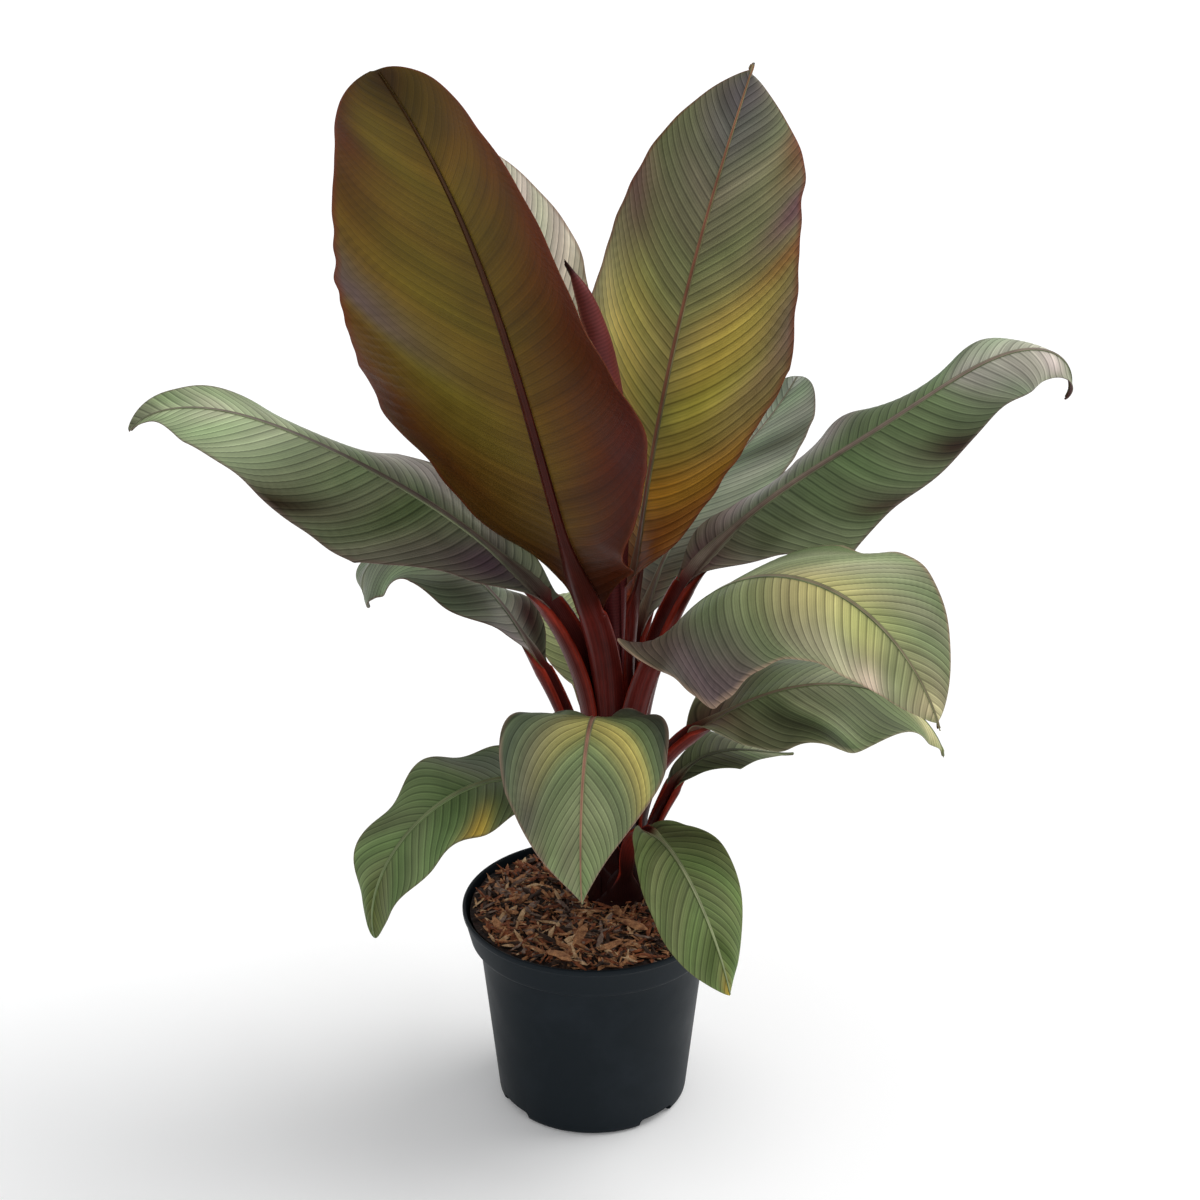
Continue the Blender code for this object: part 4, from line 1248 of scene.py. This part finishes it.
class BANANA_OT_pot(bpy.types.Operator):
    """Draw the pot up from its base in steps, over the rim and down inside"""

    bl_idname = "banana.pot"
    bl_label = "Nursery pot"

    def execute(self, context):
        settings = context.scene.banana_pot
        choose()
        bpy.ops.mesh.primitive_circle_add(vertices=settings.sides, radius=POT_PROFILE[0][0],
                                          fill_type="NGON")
        piece = added("nursery_pot")
        bpy.ops.object.mode_set(mode="EDIT")
        bpy.ops.mesh.select_all(action="SELECT")
        for (radius, height), (new_radius, new_height) in zip(POT_PROFILE, POT_PROFILE[1:]):
            bpy.ops.mesh.extrude_region_move(
                TRANSFORM_OT_translate={"value": (0, 0, new_height - height)})
            size = new_radius / radius
            bpy.ops.transform.resize(value=(size, size, 1), center_override=(0, 0, new_height))
        bpy.ops.mesh.select_all(action="SELECT")
        bpy.ops.mesh.normals_make_consistent(inside=False)
        bpy.ops.object.mode_set(mode="OBJECT")
        for angle in NOTCH_ANGLES:
            self.cut_notch(piece, math.radians(angle))
        smoothed(piece, POT_SMOOTH_ANGLE)
        dressed(piece, nursery_plastic(), "pot_plastic", "pot")
        return {"FINISHED"}

    def cut_notch(self, piece, angle):
        """Take a rounded drainage notch out of the base."""
        choose()
        place = (NOTCH_REACH * math.cos(angle), NOTCH_REACH * math.sin(angle), 0)
        bpy.ops.mesh.primitive_cube_add(size=1, location=place, rotation=(0, 0, angle),
                                        scale=NOTCH_SIZE)
        cutter = added("notch")
        bpy.ops.object.transform_apply(location=False, rotation=False, scale=True)
        bpy.ops.object.mode_set(mode="EDIT")
        bpy.ops.mesh.select_all(action="SELECT")
        bpy.ops.mesh.bevel(offset=NOTCH_ROUNDING, segments=4, affect="EDGES")
        bpy.ops.object.mode_set(mode="OBJECT")
        modify(piece, "BOOLEAN", operation="DIFFERENCE", object=cutter)
        choose(cutter)
        bpy.ops.object.delete()


def bed_height(across, along):
    """Height of the mulch: humps and hollows, and a dip beside the pot's wall."""
    away = np.hypot(across, along)
    level = BED_LEVEL - 0.0015 * smooth((away - 0.080) / 0.032)
    return (level + 0.0014 * ripple(31, across * 90, along * 90)
            + 0.0008 * ripple(32, across * 260, along * 260))


class BANANA_OT_mulch(bpy.types.Operator):
    """Lay the uneven bed of fine bark that fills the pot"""

    bl_idname = "banana.mulch"
    bl_label = "Mulch bed"

    def execute(self, context):
        piece, across, share = slab("mulch_bed", 150, 150)
        along = 2 * share - 1
        # The square grid is drawn in to a disc
        flat_x = across * np.sqrt(1 - along ** 2 / 2) * BED_RADIUS
        flat_y = along * np.sqrt(1 - across ** 2 / 2) * BED_RADIUS
        top = bed_height(flat_x, flat_y) + 0.0006 * ripple(33, flat_x * 900, flat_y * 900)
        upper = np.stack([flat_x, flat_y, top], -1)
        lower = np.stack([flat_x * 0.97, flat_y * 0.97, np.full(len(top), BED_UNDERSIDE)], -1)
        shape_slab(piece, upper, lower)
        dressed(piece, bark("bark_fines_crumbled", "#100a08", "#3c271d"), "bark_mulch",
                "bark_mulch")
        return {"FINISHED"}


class BANANA_OT_chips(bpy.types.Operator):
    """Scatter bark chips and torn strands over the mulch bed"""

    bl_idname = "banana.chips"
    bl_label = "Bark chips"

    def execute(self, context):
        settings = context.scene.banana_mulch
        draw = np.random.default_rng(settings.seed)
        for name, share, dark, pale in CHIP_KINDS:
            chips = [self.chip(draw) for _ in range(round(settings.chips * share))]
            if name == "tan":
                chips += [self.chip(draw, place) for place in BIG_CHIPS]
            self.join(name, chips, bark("bark_chip_" + name + "_torn", dark, pale))
        return {"FINISHED"}

    def chip(self, draw, place=None):
        """Points of one chip, ring by ring: a jagged splinter that lies on the bed."""
        length = 0.007 + 0.020 * draw.random() ** 2
        wide = 0.0009 + length * draw.uniform(0.07, 0.26)
        deep = wide * draw.uniform(0.3, 0.6)
        reach = CHIP_REACH * math.sqrt(draw.random())
        turn = draw.uniform(0, 2 * math.pi)
        spot = np.array([reach * math.cos(turn), reach * math.sin(turn)])
        yaw = draw.uniform(0, 2 * math.pi)
        if place:
            spot, yaw = np.array(place[:2]), math.radians(place[2])
            length, wide, deep = place[3], BIG_CHIP_WIDTH, BIG_CHIP_DEPTH
        along = np.linspace(-0.5, 0.5, CHIP_RINGS)[:, None]
        around = np.linspace(0, 2 * math.pi, CHIP_SIDES, endpoint=False)[None, :]
        taper = 1 - 0.75 * np.abs(2 * along) ** draw.uniform(1.5, 5)
        rough = draw.uniform(0.72, 1.2, (CHIP_RINGS, CHIP_SIDES))
        local = np.stack(np.broadcast_arrays(
            length * (along + draw.uniform(-0.07, 0.07, (CHIP_RINGS, CHIP_SIDES))),
            0.5 * wide * np.cos(around) * taper * rough
            + draw.uniform(-0.5, 0.5) * wide * along ** 2,
            0.5 * deep * np.sin(around) * taper * rough), -1)
        pitch = draw.normal(0, 0.30) if place is None else 0.05
        bank = draw.normal(0, 0.35) if place is None else 0.05
        turned = self.turn(yaw, 0, 1) @ self.turn(pitch, 0, 2) @ self.turn(bank, 1, 2)
        points = local.reshape(-1, 3) @ turned.T
        points[:, :2] += spot
        away = np.hypot(points[:, 0], points[:, 1]).max()
        if away > CHIP_LIMIT:
            points[:, :2] -= spot * (away - CHIP_LIMIT) / max(np.hypot(*spot), 1e-6)
        raised = draw.uniform(-0.0004, 0.0028) if place is None else 0.0050
        points[:, 2] += float(bed_height(*points[:, :2].mean(0))) + 0.4 * deep + raised
        points[:, 2] = np.minimum(points[:, 2], CHIP_CEILING)
        return points

    def turn(self, angle, first, second):
        """A rotation from one axis towards another."""
        matrix = np.eye(3)
        matrix[first, first] = matrix[second, second] = math.cos(angle)
        matrix[first, second] = -math.sin(angle)
        matrix[second, first] = math.sin(angle)
        return matrix

    def join(self, name, chips, material):
        """One mesh of all the chips of a kind."""
        ring = np.arange(CHIP_SIDES)
        after = np.roll(ring, -1)
        last = CHIP_SIDES * (CHIP_RINGS - 1)
        quads = [np.stack([start + ring, start + after, start + after + CHIP_SIDES,
                           start + ring + CHIP_SIDES], -1)
                 for start in range(0, last, CHIP_SIDES)]
        quads = np.concatenate(quads)[:, ::-1]
        ends = np.stack([ring, last + ring[::-1]])
        faces = []
        for index in range(len(chips)):
            start = index * CHIP_SIDES * CHIP_RINGS
            faces += (quads + start).tolist() + (ends + start).tolist()
        mesh = bpy.data.meshes.new("bark_chips_" + name)
        mesh.from_pydata(np.concatenate(chips).tolist(), [], faces)
        piece = bpy.data.objects.new("bark_chips_" + name, mesh)
        bpy.context.scene.collection.objects.link(piece)
        choose(piece)
        bpy.ops.object.mode_set(mode="EDIT")
        bpy.ops.mesh.select_all(action="SELECT")
        bpy.ops.mesh.normals_make_consistent(inside=False)
        bpy.ops.object.mode_set(mode="OBJECT")
        dressed(piece, material, "bark_mulch")


# The studio

class BANANA_OT_stage(bpy.types.Operator):
    """Set the floor, the soft lights and the camera"""

    bl_idname = "banana.stage"
    bl_label = "Studio"

    def execute(self, context):
        settings = context.scene.banana_studio
        choose()
        bpy.ops.mesh.primitive_plane_add(size=FLOOR_SIZE)
        floor = added("studio_floor")
        material, _, shader = new_material("studio_paper_matte", 0.95)
        shader.inputs["Base Color"].default_value = (*linear(settings.floor), 1)
        shader.inputs["Emission Color"].default_value = (1, 1, 1, 1)
        shader.inputs["Emission Strength"].default_value = FLOOR_GLOW
        floor.data.materials.append(material)
        self.sun(settings.sun)
        world = bpy.data.worlds.new("studio_air")
        context.scene.world = world
        world.use_nodes = True
        air = world.node_tree.nodes["Background"]
        air.inputs["Color"].default_value = AIR_COLOUR
        air.inputs["Strength"].default_value = settings.air
        camera = bpy.data.objects.new("camera", bpy.data.cameras.new("camera"))
        context.scene.collection.objects.link(camera)
        camera.location = CAMERA_PLACE
        camera.rotation_euler = (math.radians(90 - CAMERA_DOWN), 0, math.radians(-CAMERA_RIGHT))
        camera.data.lens = settings.lens
        camera.data.sensor_width = SENSOR_WIDTH
        context.scene.camera = camera
        context.scene.view_settings.view_transform = "Standard"
        return {"FINISHED"}

    def sun(self, power):
        """A wide soft light that shines evenly from one side."""
        lamp = bpy.data.lights.new("softbox", "SUN")
        lamp.angle = math.radians(LIGHT_SPREAD)
        lamp.energy = power
        made = bpy.data.objects.new("softbox", lamp)
        bpy.context.scene.collection.objects.link(made)
        made.location = LIGHT_FROM
        made.rotation_euler = Vector(LIGHT_FROM).to_track_quat("Z", "Y").to_euler()


STEPS = (BANANA_OT_pot, BANANA_OT_mulch, BANANA_OT_chips, BANANA_OT_stem, BANANA_OT_petioles,
         BANANA_OT_blades, BANANA_OT_rolled_leaf, BANANA_OT_stage)


class BANANA_PT_panel(bpy.types.Panel):
    """The steps, in order, with their settings"""

    bl_label = "Banana plant"
    bl_idname = "BANANA_PT_panel"
    bl_space_type = "VIEW_3D"
    bl_region_type = "UI"
    bl_category = "Banana"

    def draw(self, context):
        for name, group in SETTINGS:
            box = self.layout.box()
            for key in group.__annotations__:
                box.prop(getattr(context.scene, name), key)
        for step in STEPS:
            self.layout.operator(step.bl_idname)


CLASSES = (*(group for _, group in SETTINGS), *STEPS, BANANA_PT_panel)


def register():
    for made in CLASSES:
        bpy.utils.register_class(made)
    for name, group in SETTINGS:
        setattr(bpy.types.Scene, name, PointerProperty(type=group))


def unregister():
    for name, _ in SETTINGS:
        delattr(bpy.types.Scene, name)
    for made in reversed(CLASSES):
        bpy.utils.unregister_class(made)


def main():
    register()
    bpy.ops.banana.pot()
    bpy.ops.banana.mulch()
    bpy.ops.banana.chips()
    bpy.ops.banana.stem()
    bpy.ops.banana.petioles()
    bpy.ops.banana.blades()
    bpy.ops.banana.rolled_leaf()
    bpy.ops.banana.stage()


if __name__ == "__main__":
    main()
